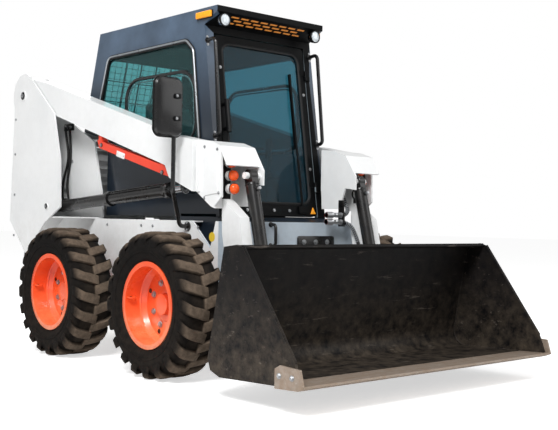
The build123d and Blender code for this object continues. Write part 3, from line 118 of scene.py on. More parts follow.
def linear(code: str) -> tuple[float, float, float, float]:
    """Turn an sRGB hex code into a linear colour.

    Args:
        code: Six hex digits.

    Returns:
        Red, green, blue and alpha.
    """
    parts = [int(code[i : i + 2], 16) / 255 for i in (0, 2, 4)]
    red, green, blue = [c / 12.92 if c <= 0.04045 else ((c + 0.055) / 1.055) ** 2.4 for c in parts]
    return (red, green, blue, 1.0)


def node(
    tree: bpy.types.NodeTree,
    kind: str,
    settings: Optional[dict[str, Any]] = None,
    inputs: Optional[dict[Any, Any]] = None,
) -> bpy.types.Node:
    """Add a node with its settings and links.

    Args:
        tree: Tree that takes the node.
        kind: Blender's type name of the node.
        settings: Properties to set on the node.
        inputs: Values or output sockets, by the input's name or number.

    Returns:
        The new node.
    """
    made = tree.nodes.new(kind)
    for name, value in (settings or {}).items():
        setattr(made, name, value)
    for name, value in (inputs or {}).items():
        socket = made.inputs[name]
        if isinstance(value, bpy.types.NodeSocket):
            tree.links.new(value, socket)
        else:
            socket.default_value = value
    return made


@dataclass(frozen=True)
class Soil:
    """Dried dirt over a finish, and on some finishes painted light and shade graded by height: its colour, how much,
    and the height where it thins out.
    """

    colour: str = "8a7a66"
    share: float = 0.4
    low: float = 0.1
    high: float = 1.0
    patch_mm: float = 70.0
    edge: float = 0.12
    lug_tops: float = 0.0


@dataclass(frozen=True)
class Finish:
    """A surface finish: base colour, a wandering second tint, dirt and painted light, roughness and a fine bump."""

    name: str
    base: str
    tint: str = ""
    tint_mm: float = 300.0
    tint_share: float = 0.35
    stretch: tuple[float, float, float] = (1.0, 1.0, 1.0)
    soil: Optional[Soil] = None
    roughness: float = 0.5
    rough_spread: float = 0.1
    metallic: float = 0.0
    ior: float = 1.5
    coat: float = 0.0
    sheen: float = 0.0
    transmission: float = 0.0
    glow: float = 0.0
    bump_mm: float = 0.0
    grain_mm: float = 2.0
    scratch: str = ""
    scratch_mm: float = 40.0

    def material(self) -> bpy.types.Material:
        """Build the finish once and hand out the same material after that.

        Returns:
            The material.
        """
        found = bpy.data.materials.get(self.name)
        if found:
            return found
        made = bpy.data.materials.new(self.name)
        made.use_nodes = True
        tree = made.node_tree
        tree.nodes.clear()
        where = node(tree, "ShaderNodeTexCoord").outputs["Object"]
        flow = node(
            tree, "ShaderNodeMapping", {}, {"Vector": where, "Scale": self.stretch}
        ).outputs["Vector"]
        wander = node(
            tree,
            "ShaderNodeTexNoise",
            {},
            {"Vector": flow, "Scale": 1000 / self.tint_mm, "Detail": 4.0, "Roughness": 0.6},
        ).outputs["Fac"]
        tinted = node(
            tree,
            "ShaderNodeMapRange",
            {},
            {"Value": wander, "From Min": 0.4, "From Max": 0.7, "To Max": self.tint_share},
        ).outputs["Result"]
        colour = node(
            tree,
            "ShaderNodeMix",
            {"data_type": "RGBA"},
            {"Factor": tinted, 6: linear(self.base), 7: linear(self.tint or self.base)},
        ).outputs[2]
        if self.scratch:
            colour = self.scratches(tree, where, colour)
        if self.soil:
            colour = self.dirty(tree, where, colour)
        roughness: Any = self.roughness
        if self.rough_spread > 0:
            roughness = node(
                tree,
                "ShaderNodeMapRange",
                {},
                {
                    "Value": wander,
                    "From Min": 0.3,
                    "From Max": 0.7,
                    "To Min": self.roughness - self.rough_spread / 2,
                    "To Max": self.roughness + self.rough_spread / 2,
                },
            ).outputs["Result"]
        shader = node(
            tree,
            "ShaderNodeBsdfPrincipled",
            {},
            {
                "Base Color": colour,
                "Roughness": roughness,
                "Metallic": self.metallic,
                "IOR": self.ior,
                "Coat Weight": self.coat,
                "Coat Roughness": 0.12,
                "Sheen Weight": self.sheen,
                "Transmission Weight": self.transmission,
                "Emission Color": linear(self.base),
                "Emission Strength": self.glow,
            },
        )
        if self.bump_mm > 0:
            grain = node(
                tree,
                "ShaderNodeTexNoise",
                {},
                {"Vector": flow, "Scale": 1000 / self.grain_mm, "Detail": 2.0},
            ).outputs["Fac"]
            bump = node(
                tree,
                "ShaderNodeBump",
                {},
                {"Strength": 0.6, "Distance": self.bump_mm / 1000, "Height": grain},
            )
            tree.links.new(bump.outputs["Normal"], shader.inputs["Normal"])
        node(tree, "ShaderNodeOutputMaterial", {}, {"Surface": shader.outputs["BSDF"]})
        return made

    def scratches(self, tree: bpy.types.NodeTree, where: Any, colour: Any) -> Any:
        """Lay thin streaks of the scratch colour over the paint.

        Args:
            tree: Material's node tree.
            where: Socket of the object coordinates.
            colour: Socket of the colour below.

        Returns:
            Socket of the scratched colour.
        """
        bent = node(
            tree,
            "ShaderNodeMapping",
            {},
            {"Vector": where, "Scale": (0.25, 1.0, 2.2), "Rotation": (0.5, 0.2, 0.4)},
        ).outputs["Vector"]
        lines = node(
            tree,
            "ShaderNodeTexNoise",
            {},
            {"Vector": bent, "Scale": 1000 / self.scratch_mm, "Detail": 8.0, "Roughness": 0.75},
        ).outputs["Fac"]
        cut = node(
            tree,
            "ShaderNodeMapRange",
            {},
            {"Value": lines, "From Min": 0.6, "From Max": 0.68, "To Max": 0.75},
        ).outputs["Result"]
        return node(
            tree,
            "ShaderNodeMix",
            {"data_type": "RGBA"},
            {"Factor": cut, 6: colour, 7: linear(self.scratch)},
        ).outputs[2]

    def dirty(self, tree: bpy.types.NodeTree, where: Any, colour: Any) -> Any:
        """Lay dirt over the colour, thicker low down and, on a tyre, on the lug tops; on some finishes the same layer
        is painted light and shade, graded by height.

        Args:
            tree: Material's node tree.
            where: Socket of the object coordinates.
            colour: Socket of the colour below.

        Returns:
            Socket of the colour with its dirt and painted light.
        """
        soil = self.soil or Soil()
        height = node(tree, "ShaderNodeSeparateXYZ", {}, {"Vector": where}).outputs["Z"]
        low = node(
            tree,
            "ShaderNodeMapRange",
            {"interpolation_type": "SMOOTHSTEP"},
            {"Value": height, "From Min": soil.low, "From Max": soil.high, "To Min": 1.0, "To Max": 0.15},
        ).outputs["Result"]
        patches = node(
            tree,
            "ShaderNodeTexNoise",
            {},
            {"Vector": where, "Scale": 1000 / soil.patch_mm, "Detail": 7.0, "Roughness": 0.68},
        ).outputs["Fac"]
        shown = node(
            tree,
            "ShaderNodeMapRange",
            {},
            {
                "Value": patches,
                "From Min": 0.5 - soil.edge,
                "From Max": 0.5 + soil.edge,
                "To Max": soil.share,
            },
        ).outputs["Result"]
        share = node(tree, "ShaderNodeMath", {"operation": "MULTIPLY"}, {0: low, 1: shown}).outputs["Value"]
        if soil.lug_tops > 0:
            crown = node(tree, "ShaderNodeAttribute", {"attribute_name": "crown"}).outputs["Fac"]
            tops = node(
                tree, "ShaderNodeMath", {"operation": "MULTIPLY"}, {0: crown, 1: soil.lug_tops}
            ).outputs["Value"]
            tops = node(tree, "ShaderNodeMath", {"operation": "MULTIPLY"}, {0: tops, 1: patches}).outputs["Value"]
            adding = {"operation": "ADD", "use_clamp": True}
            share = node(tree, "ShaderNodeMath", adding, {0: share, 1: tops}).outputs["Value"]
        return node(
            tree,
            "ShaderNodeMix",
            {"data_type": "RGBA"},
            {"Factor": share, 6: colour, 7: linear(soil.colour)},
        ).outputs[2]


# White two-pack enamel over steel plate: bright, half gloss, greyed by road dust low down.
WHITE_ENAMEL = Finish(
    "white_enamel", "eceded", "dfe1e2", 420, 0.6, soil=Soil("9c9284", 0.3, 0.3, 0.95, 60), roughness=0.35,
    rough_spread=0.12, coat=0.25,
)
# Slate powder coat of the cab: blue-grey with fine orange peel, with pale blue-grey painted light towards the top and
# painted shade, near black, lower down.
SLATE_COAT_LIT_AND_SHADED = Finish(
    "slate_powder_coat", "121a24", "0d141c", 300, 0.6, soil=Soil("62778f", 1.0, 2.0, 1.38, 420, 0.5), roughness=0.34,
    bump_mm=0.25, coat=0.2,
)
# Black powder coat of the door, the cab's front and its upper inside: dull and very dark.
BLACK_COAT = Finish("black_powder_coat", "050607", "0a0b0c", 120, 0.5, roughness=0.5, ior=1.22)
# Black enamel on tubes, cylinders and brackets: deep and glossy, with a little dust.
BLACK_ENAMEL = Finish(
    "black_enamel", "08080a", "0f1012", 160, 0.5, soil=Soil("5f564b", 0.16, 0.2, 1.3, 50), roughness=0.28,
    coat=0.3,
)
# Black rubber of the tyres: dull, browned by dried mud on lugs and flanks.
TYRE_RUBBER = Finish(
    "tyre_rubber", "0c0b0b", "151312", 90, 0.7,
    soil=Soil("6b5d50", 0.12, 0.0, 0.9, 30, 0.2, 1.5), roughness=0.85, rough_spread=0.1, ior=1.2,
    bump_mm=1.2, grain_mm=7,
)
# Orange-red wheel enamel: warm and glossy, with a peach painted light over the lower half of the rim.
WHEEL_ENAMEL_LIT_BELOW = Finish(
    "wheel_enamel", "f0501f", "e23d14", 150, 0.6, soil=Soil("f0b078", 0.75, 0.16, 0.46, 60, 0.4), roughness=0.3,
    coat=0.4,
)
# Black bucket paint worn by digging: dull, scratched grey, with soil low down.
BUCKET_PAINT = Finish(
    "worn_bucket_paint", "09090b", "121113", 160, 0.8, soil=Soil("6e6254", 0.36, 0.1, 0.62, 55, 0.16),
    roughness=0.48, rough_spread=0.2, ior=1.25, bump_mm=0.5, grain_mm=6, scratch="5d5650", scratch_mm=60,
)
# Bare scoured steel of the blade: tan grey with fine scratches along its length.
SCOURED_STEEL = Finish(
    "scoured_steel", "a3968a", "8a7c6e", 40, 0.8, (0.3, 1.0, 1.0), Soil("8a6a4c", 0.5, 0.0, 0.4, 30), 0.5,
    0.2, 0.35, bump_mm=0.4, scratch="d0c8bd", scratch_mm=18,
)
# Hard chrome on piston rods: mirror bright.
HARD_CHROME = Finish("hard_chrome", "c9cbce", "bfc1c4", 100, 0.3, roughness=0.1, rough_spread=0.04, metallic=1.0)
# Zinc-plated fasteners: pale grey, half bright.
ZINC_PLATE = Finish("zinc_plate", "b4b6b8", "9a9c9e", 20, 0.5, roughness=0.35, metallic=0.9)
# Brass of grease nipples and pins: yellow, half bright.
TURNED_BRASS = Finish("turned_brass", "c9a24a", "a8853a", 20, 0.5, roughness=0.3, metallic=0.9)
# Moulded black plastic of consoles, mirror and lamp housings: soft sheen.
MOULDED_PLASTIC = Finish("moulded_plastic", "0a0b0c", "111213", 60, 0.5, roughness=0.42, ior=1.3, bump_mm=0.15)
# Black EPDM seal and hose: dull, slightly grey.
EPDM_RUBBER = Finish("epdm_rubber", "0c0c0d", "141415", 50, 0.5, roughness=0.7)
# Seat cover of slate grey vinyl: fine grain, soft gloss.
SEAT_VINYL = Finish("seat_vinyl", "343b42", "424a52", 60, 0.5, roughness=0.5, bump_mm=0.35, grain_mm=3, sheen=0.2)
# Amber polycarbonate of the marker lamps: clear orange, glossy.
AMBER_LENS = Finish("amber_polycarbonate", "f5a022", "ea8a18", 30, 0.4, roughness=0.2, rough_spread=0.05, glow=0.12)
# Orange polycarbonate ends of the knee lamps: deeper orange red.
ORANGE_LENS = Finish("orange_polycarbonate", "ee5a22", "d94615", 30, 0.4, roughness=0.22, rough_spread=0.05, glow=0.1)
# Red polycarbonate of the tail lamps: deep and glossy.
RED_LENS = Finish("red_polycarbonate", "b5161a", "8f1013", 30, 0.4, roughness=0.2, rough_spread=0.05, glow=0.05)
# Fluted clear lens of the work lamps over a bright reflector: silvery white.
CLEAR_LENS = Finish(
    "fluted_lens", "dfe6ea", "aab4bb", 16, 0.7, roughness=0.12, rough_spread=0.05, metallic=0.35, coat=0.6,
)
# White moulded plastic of lamp bodies and the blank plate: clean, half gloss.
WHITE_PLASTIC = Finish("white_moulded_plastic", "e9e9e7", "d8d8d6", 50, 0.4, roughness=0.4)
# Light blue-grey on the chassis' white front wall: painted shade, cooler than the white beside it.
WHITE_FRONT_PAINTED_SHADE = Finish(
    "pale_blue_enamel", "bcc8d2", "a9b6c2", 200, 0.5, soil=Soil("8f8a82", 0.35, 0.5, 0.9, 40), roughness=0.4,
)
# Orange-red enamel of the service brace: the one bright stripe on the side.
BRACE_ENAMEL = Finish("brace_enamel", "e8452c", "d43a22", 100, 0.4, roughness=0.35, coat=0.2)
# Copper-toned zinc primer seen in the visor's grille: warm slots in the black, made to glow as painted light though no
# lamp is there.
GLOWING_COPPER_PRIMER = Finish("copper_primer", "d98a3c", "b96f2a", 18, 0.8, roughness=0.5, glow=0.25)
# Silvered mirror glass: a clear, bright reflection.
SILVERED_GLASS = Finish("silvered_glass", "aeb6bb", "a2aab0", 80, 0.2, roughness=0.05, rough_spread=0.02, metallic=1.0)
# Side window glass: green-blue tint, clear.
SIDE_GLASS = Finish(
    "tinted_side_glass", "8fc4c6", "86babd", 300, 0.3, roughness=0.03, rough_spread=0.0, ior=1.2, transmission=0.96
)
# Door glass: deeper blue tint.
DOOR_GLASS = Finish(
    "tinted_door_glass", "4d8397", "3f7488", 300, 0.3, roughness=0.03, rough_spread=0.0, ior=1.25, transmission=0.95
)
# Yellow vinyl of the plain round sticker: flat and bright.
YELLOW_VINYL = Finish("yellow_vinyl", "e3c233", "d4b32b", 30, 0.3, roughness=0.5)
# Cast engine iron under grey paint: dark and dull.
ENGINE_GREY = Finish("engine_grey", "4a4d50", "3a3c3f", 80, 0.6, roughness=0.6)
# Grey of the rear bumper, set from its shaded side, so it is painted shade: half gloss, soiled low down.
GREY_ENAMEL_SHADED = Finish(
    "grey_enamel", "8b9099", "7b808a", 240, 0.5, soil=Soil("6f675c", 0.35, 0.1, 0.7, 50), roughness=0.45,
)
# Bright metal bead in the window seals: a thin silver line that stands in for the seal's highlight, a painted
# highlight.
SEAL_HIGHLIGHT_TRIM = Finish("bright_trim", "b9bec2", "9fa5aa", 60, 0.5, roughness=0.3, metallic=0.8)
# Chromed shells of the lamps: mirror bright.
CHROME_SHELL = Finish("chromed_shell", "c4c8cc", "aeb3b8", 40, 0.4, roughness=0.12, metallic=1.0)
# Silvered bowl behind a lamp's lens: a bright glint.
LAMP_BOWL = Finish("lamp_bowl", "e6e9eb", "c8cdd0", 12, 0.5, roughness=0.1, metallic=1.0)
# Grey lining inside the cab below the windows: matt, with a fine grain.
LINING_GREY = Finish("lining_grey", "6b767c", "5c666c", 140, 0.5, roughness=0.6, bump_mm=0.3, grain_mm=4)
# White enamel of the mudguards' undersides and other faces looking down, browned by dried spray and darkened tan as
# painted shade.
DUSTY_SHADED_ENAMEL = Finish(
    "dusty_enamel", "b7a795", "d8d2c9", 90, 0.8, soil=Soil("6d5844", 0.8, 0.3, 1.1, 120, 0.3), roughness=0.6,
)
# Pale polyethylene spiral round the hoses: a ribbed grey line.
SPIRAL_GUARD = Finish("spiral_guard", "a3a7ab", "8d9195", 30, 0.5, roughness=0.5)
# Red moulded plastic of dust caps and buttons: small bright accents.
RED_CAP = Finish("red_moulded_cap", "a3231d", "8a1c17", 20, 0.4, roughness=0.4)


# ------------------------------------------------------------------ shaping tools


def vec(x: float, y: float, z: float) -> Vector:
    """Make a point in metres from millimetres.

    Args:
        x: Millimetres to the machine's left.
        y: Millimetres to its rear.
        z: Millimetres above the ground.

    Returns:
        The point.
    """
    return Vector((x / 1000, y / 1000, z / 1000))


def rounded(route: Sequence[Vector], bend: float, closed: bool = False) -> list[Vector]:
    """Round the corners of a rigid route with arcs.

    Args:
        route: Corners in order.
        bend: Largest arc radius, in metres.
        closed: Whether the route comes back to its start.

    Returns:
        Points along the rounded route.
    """
    ring = [route[-1], *route, route[0]] if closed else list(route)
    made = [] if closed else [route[0].copy()]
    for before, corner, after in zip(ring, ring[1:], ring[2:]):
        back, ahead = (before - corner).normalized(), (after - corner).normalized()
        half = back.angle(ahead) / 2
        if half > math.radians(88):
            made.append(corner.copy())
            continue
        room = 0.48 * min((before - corner).length, (after - corner).length)
        radius = min(room, bend / math.tan(half)) * math.tan(half)
        inward, across = (back + ahead).normalized(), (ahead - back).normalized()
        centre = corner + inward * (radius / math.sin(half))
        for step in range(9):
            angle = (math.pi / 2 - half) * (step / 4 - 1)
            made.append(centre - inward * (radius * math.cos(angle)) + across * (radius * math.sin(angle)))
    if not closed:
        made.append(route[-1].copy())
    return made


def hung(route: Sequence[Vector]) -> list[Vector]:
    """Points along the smooth line of a hose.

    Args:
        route: Control points of the line.

    Returns:
        Points read from the line's NURBS spline.
    """
    curve = bpy.data.curves.new("line", "CURVE")
    curve.dimensions = "3D"
    curve.resolution_u = 10
    line = curve.splines.new("NURBS")
    line.points.add(len(route) - 1)
    for spot, place in zip(line.points, route):
        spot.co = (*place, 1.0)
    line.order_u = 3
    line.use_endpoint_u = True
    holder = bpy.data.objects.new("line", curve)
    mesh = bpy.data.meshes.new_from_object(holder)
    made = [v.co.copy() for v in mesh.vertices]
    bpy.data.objects.remove(holder)
    bpy.data.curves.remove(curve)
    bpy.data.meshes.remove(mesh)
    return made


@dataclass
class Piece:
    """One piece under construction, in metres and in the frame of the machine."""

    name: str
    body: str
    finishes: tuple[Finish, ...]
    sharp: float = 35.0
    shape: bmesh.types.BMesh = field(default_factory=bmesh.new)

    def add(self, made: bmesh.types.BMesh, paint: int = 0) -> None:
        """Close a shape, turn its faces outwards and merge it into the piece.

        Args:
            made: Shape to merge; it is freed.
            paint: Number of its finish.
        """
        bmesh.ops.remove_doubles(made, verts=made.verts, dist=1e-6)
        bmesh.ops.recalc_face_normals(made, faces=made.faces)
        for face in made.faces:
            face.material_index = paint
            face.smooth = True
        mesh = bpy.data.meshes.new("shape")
        made.to_mesh(mesh)
        made.free()
        self.shape.from_mesh(mesh)
        bpy.data.meshes.remove(mesh)

    def soften(self, made: bmesh.types.BMesh, width: float, segments: int = 3) -> None:
        """Round every edge of a shape.

        Args:
            made: The shape.
            width: How far each edge is cut back, in metres.
            segments: Faces across each round.
        """
        bmesh.ops.bevel(
            made, geom=made.edges[:], offset=width, segments=segments, profile=0.5, affect="EDGES",
            material=-1, clamp_overlap=True,
        )

    def slab(self, outline: Sequence[Vector], depth: Vector, soft: float = 0.0, paint: int = 0) -> None:
        """Add a plate of one outline.

        Args:
            outline: Corners in order.
            depth: Way and thickness of the plate.
            soft: Width of its rounded edges.
            paint: Number of its finish.
        """
        made = bmesh.new()
        base = made.faces.new([made.verts.new(p) for p in outline])
        grown = bmesh.ops.extrude_face_region(made, geom=[base])["geom"]
        top = [g for g in grown if isinstance(g, bmesh.types.BMVert)]
        bmesh.ops.translate(made, verts=top, vec=depth)
        if soft:
            bmesh.ops.recalc_face_normals(made, faces=made.faces)
            self.soften(made, soft)
        self.add(made, paint)

    def block(
        self, centre: Vector, size: Vector, soft: float = 0.0, paint: int = 0, turn: Optional[Matrix] = None
    ) -> None:
        """Add a box with rounded edges.

        Args:
            centre: Its middle.
            size: Its length along each axis.
            soft: Width of its rounded edges.
            paint: Number of its finish.
            turn: Turn about its middle.
        """
        made = bmesh.new()
        bmesh.ops.create_cube(made, size=1.0)
        bmesh.ops.scale(made, verts=made.verts, vec=size)
        if soft:
            self.soften(made, soft)
        if turn is not None:
            bmesh.ops.rotate(made, verts=made.verts, cent=(0, 0, 0), matrix=turn)
        bmesh.ops.translate(made, verts=made.verts, vec=centre)
        self.add(made, paint)

    def lathe(self, profile: Sequence[Point], start: Vector, way: Vector, steps: int = 48, paint: int = 0) -> None:
        """Spin a profile round an axis.

        Args:
            profile: Points as millimetres along the axis and out from it.
            start: Where the axis starts.
            way: Way of the axis.
            steps: Faces round the circle.
            paint: Number of its finish.
        """
        made = bmesh.new()
        axis = way.normalized()
        out = axis.orthogonal().normalized()
        verts = [made.verts.new(start + axis * (a / 1000) + out * (r / 1000)) for a, r in profile]
        edges = [made.edges.new(pair) for pair in zip(verts, verts[1:])]
        bmesh.ops.spin(
            made, geom=[*verts, *edges], cent=start, axis=axis, dvec=(0, 0, 0), angle=math.tau,
            steps=steps, use_merge=True,
        )
        self.add(made, paint)

    def rod(
        self, start: Vector, end: Vector, radius: float, soft: float = 0.0, paint: int = 0, steps: int = 28
    ) -> None:
        """Add a round bar.

        Args:
            start: Middle of one end.
            end: Middle of the other.
            radius: Its radius in millimetres.
            soft: Width of its rounded ends in millimetres.
            paint: Number of its finish.
            steps: Faces round it.
        """
        length = (end - start).length * 1000
        ends = [(0, radius - soft), (soft, radius), (length - soft, radius), (length, radius - soft)]
        if not soft:
            ends = [(0, radius), (length, radius)]
        self.lathe([(0, 0), *ends, (length, 0)], start, end - start, steps, paint)

    def cap(
        self, foot: Vector, way: Vector, size: Point, bevel: Point = (1, 1), steps: int = 28, paint: int = 0
    ) -> None:
        """Add a round cap with a bevelled rim.

        Args:
            foot: Middle of its underside.
            way: Way the cap faces.
            size: Radius and height in millimetres.
            bevel: Height and width of the bevel in millimetres.
            steps: Faces round it.
            paint: Number of its finish.
        """
        (radius, tall), (drop, cut) = size, bevel
        profile = [(0, 0), (0, radius), (tall - drop, radius), (tall, radius - cut), (tall, 0)]
        self.lathe(profile, foot, way, steps, paint)

    def bolt(self, foot: Vector, way: Vector, across: float = 16.0, paint: int = 0) -> None:
        """Add a hexagon head on its washer.

        Args:
            foot: Middle of the washer's underside.
            way: Way the head faces.
            across: Corner to corner, in millimetres.
            paint: Number of its finish.
        """
        self.lathe([(0, 0), (0, across * 0.72), (1.6, across * 0.72), (1.6, 0)], foot, way, 20, paint)
        half, tall = across / 2, across * 0.42
        self.lathe([(1.5, 0), (1.5, half), (tall, half), (tall + 1, half * 0.86), (tall + 1, 0)], foot, way, 6, paint)

    def tube(
        self, points: Sequence[Vector], radius: float, closed: bool = False, paint: int = 0, rings: int = 3
    ) -> None:
        """Add a tube along points.

        Args:
            points: Middle line.
            radius: Tube radius in millimetres.
            closed: Whether it comes back to its start.
            paint: Number of its finish.
            rings: Blender's bevel resolution.
        """
        curve = bpy.data.curves.new("tube", "CURVE")
        curve.dimensions = "3D"
        curve.bevel_depth = radius / 1000
        curve.bevel_resolution = rings
        curve.use_fill_caps = not closed
        line = curve.splines.new("POLY")
        line.points.add(len(points) - 1)
        for spot, place in zip(line.points, points):
            spot.co = (*place, 1.0)
        line.use_cyclic_u = closed
        holder = bpy.data.objects.new("tube", curve)
        mesh = bpy.data.meshes.new_from_object(holder)
        made = bmesh.new()
        made.from_mesh(mesh)
        bpy.data.objects.remove(holder)
        bpy.data.curves.remove(curve)
        bpy.data.meshes.remove(mesh)
        self.add(made, paint)

    def coil(self, line: Sequence[Vector], radius: float, pitch: float, wire: float, paint: int = 0) -> None:
        """Wind a guard spiral round a hose.

        Args:
            line: Points along the hose.
            radius: Spiral radius in millimetres.
            pitch: Millimetres along the hose for each turn.
            wire: Radius of the spiral's strip in millimetres.
            paint: Number of its finish.
        """
        points = []
        gone = 0.0
        side = (line[1] - line[0]).orthogonal().normalized()
        for here, there in zip(line, line[1:]):
            way = (there - here).normalized()
            side = (side - way * side.dot(way)).normalized()
            steps = max(1, round((there - here).length * 8000 / pitch))
            for step in range(steps):
                angle = math.tau * (gone + (there - here).length * 1000 * step / steps) / pitch
                place = here.lerp(there, step / steps)
                round_it = side * math.cos(angle) + way.cross(side) * math.sin(angle)
                points.append(place + round_it * (radius / 1000))
            gone += (there - here).length * 1000
        self.tube(points, wire, paint=paint, rings=1)

    def finish(self, *stands_for: str, slot: str = "") -> bpy.types.Object:
        """Make the object, let it ride on its body and report it.

        Args:
            stands_for: Nodes that it replaces.
            slot: Not used.

        Returns:
            The new object.
        """
        mesh = bpy.data.meshes.new(self.name)
        self.shape.to_mesh(mesh)
        self.shape.free()
        for look in self.finishes:
            mesh.materials.append(look.material())
        mesh.set_sharp_from_angle(angle=math.radians(self.sharp))
        made = bpy.data.objects.new(self.name, mesh)
        bpy.context.scene.collection.objects.link(made)
        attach(made, self.body)
        if stands_for:
            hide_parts(*stands_for)
        LOG.info("%s: %d faces on %s", self.name, len(mesh.polygons), self.body)
        return made


# ------------------------------------------------------------------ camera, floor and light


@dataclass
class Studio:
    """Camera, floor and lamps."""

    eye: Vector = field(default_factory=lambda: Vector((-3.6439, -4.5883, 0.8465)))
    yaw: float = 41.3997
    pitch: float = 0.2127
    roll: float = 0.9937
    lens: float = 61.77
    floor_size: float = 40.0
    floor_glow: float = 0.6

    def camera(self) -> None:
        """Set up the camera."""
        data = bpy.data.cameras.new("camera")
        data.lens = self.lens
        data.sensor_width = 36.0
        data.clip_start = 0.05
        data.clip_end = 60.0
        made = bpy.data.objects.new("camera", data)
        yaw, pitch = math.radians(self.yaw), math.radians(self.pitch)
        ahead = Vector((math.sin(yaw) * math.cos(pitch), math.cos(yaw) * math.cos(pitch), math.sin(pitch)))
        turn = ahead.to_track_quat("-Z", "Y").to_matrix().to_4x4() @ Matrix.Rotation(math.radians(self.roll), 4, "Z")
        made.matrix_world = Matrix.Translation(self.eye) @ turn
        bpy.context.scene.collection.objects.link(made)
        bpy.context.scene.camera = made

    def seen(self, tree: bpy.types.NodeTree) -> bpy.types.NodeSocket:
        """Tell rays that show a background from rays that light the machine.

        Args:
            tree: Node tree that takes the nodes.

        Returns:
            Socket that is 1 for rays from the camera and through glass.
        """
        path = node(tree, "ShaderNodeLightPath")
        pair = {0: path.outputs["Is Camera Ray"], 1: path.outputs["Is Transmission Ray"]}
        return node(tree, "ShaderNodeMath", {"operation": "MAXIMUM"}, pair).outputs["Value"]

    def floor(self) -> None:
        """Lay a pale floor that keeps the machine's shadow."""
        made = bmesh.new()
        bmesh.ops.create_grid(made, x_segments=1, y_segments=1, size=self.floor_size)
        mesh = bpy.data.meshes.new("floor")
        made.to_mesh(mesh)
        made.free()
        paint = bpy.data.materials.new("pale_floor")
        paint.use_nodes = True
        tree = paint.node_tree
        tree.nodes.clear()
        glow = node(tree, "ShaderNodeMath", {"operation": "MULTIPLY"}, {0: self.seen(tree), 1: self.floor_glow})
        shader = node(
            tree,
            "ShaderNodeBsdfPrincipled",
            {},
            {
                "Base Color": linear("f4f4f4"),
                "Roughness": 0.9,
                "Emission Color": linear("ffffff"),
                "Emission Strength": glow.outputs["Value"],
                "Specular IOR Level": 0.0,
            },
        )
        node(tree, "ShaderNodeOutputMaterial", {}, {"Surface": shader.outputs["BSDF"]})
        mesh.materials.append(paint)
        thing = bpy.data.objects.new("floor", mesh)
        bpy.context.scene.collection.objects.link(thing)

    def lamp(self, name: str, place: Point, aim: Point, size: float, power: float) -> None:
        """Hang one soft area lamp.

        Args:
            name: Its name.
            place: Where it hangs.
            aim: Where it points.
            size: Side of its square.
            power: Watts.
        """
        data = bpy.data.lights.new(name, "AREA")
        data.shape = "SQUARE"
        data.size = size
        data.energy = power
        made = bpy.data.objects.new(name, data)
        made.location = place
        made.rotation_mode = "QUATERNION"
        made.rotation_quaternion = (Vector(aim) - Vector(place)).to_track_quat("-Z", "Y")
        bpy.context.scene.collection.objects.link(made)

    def light(self) -> None:
        """Hang the lamps and set the world."""
        self.lamp("key", (-5.0, -4.0, 6.0), (0, 0, 0.8), 2.6, 640)
        self.lamp("fill", (4.5, -5.5, 4.0), (0, 0, 0.9), 5.0, 90)
        self.lamp("back", (1.5, 6.0, 5.0), (0, 0, 1.0), 4.0, 130)
        world = bpy.data.worlds.new("world")
        bpy.context.scene.world = world
        world.use_nodes = True
        tree = world.node_tree
        tree.nodes.clear()
        soft = node(tree, "ShaderNodeBackground", {}, {"Color": linear("ffffff"), "Strength": 0.4})
        white = node(tree, "ShaderNodeBackground", {}, {"Color": linear("ffffff"), "Strength": 1.0})
        choice = {0: self.seen(tree), 1: soft.outputs["Background"], 2: white.outputs["Background"]}
        mix = node(tree, "ShaderNodeMixShader", {}, choice)
        node(tree, "ShaderNodeOutputWorld", {}, {"Surface": mix.outputs["Shader"]})
        bpy.context.scene.view_settings.view_transform = "Standard"


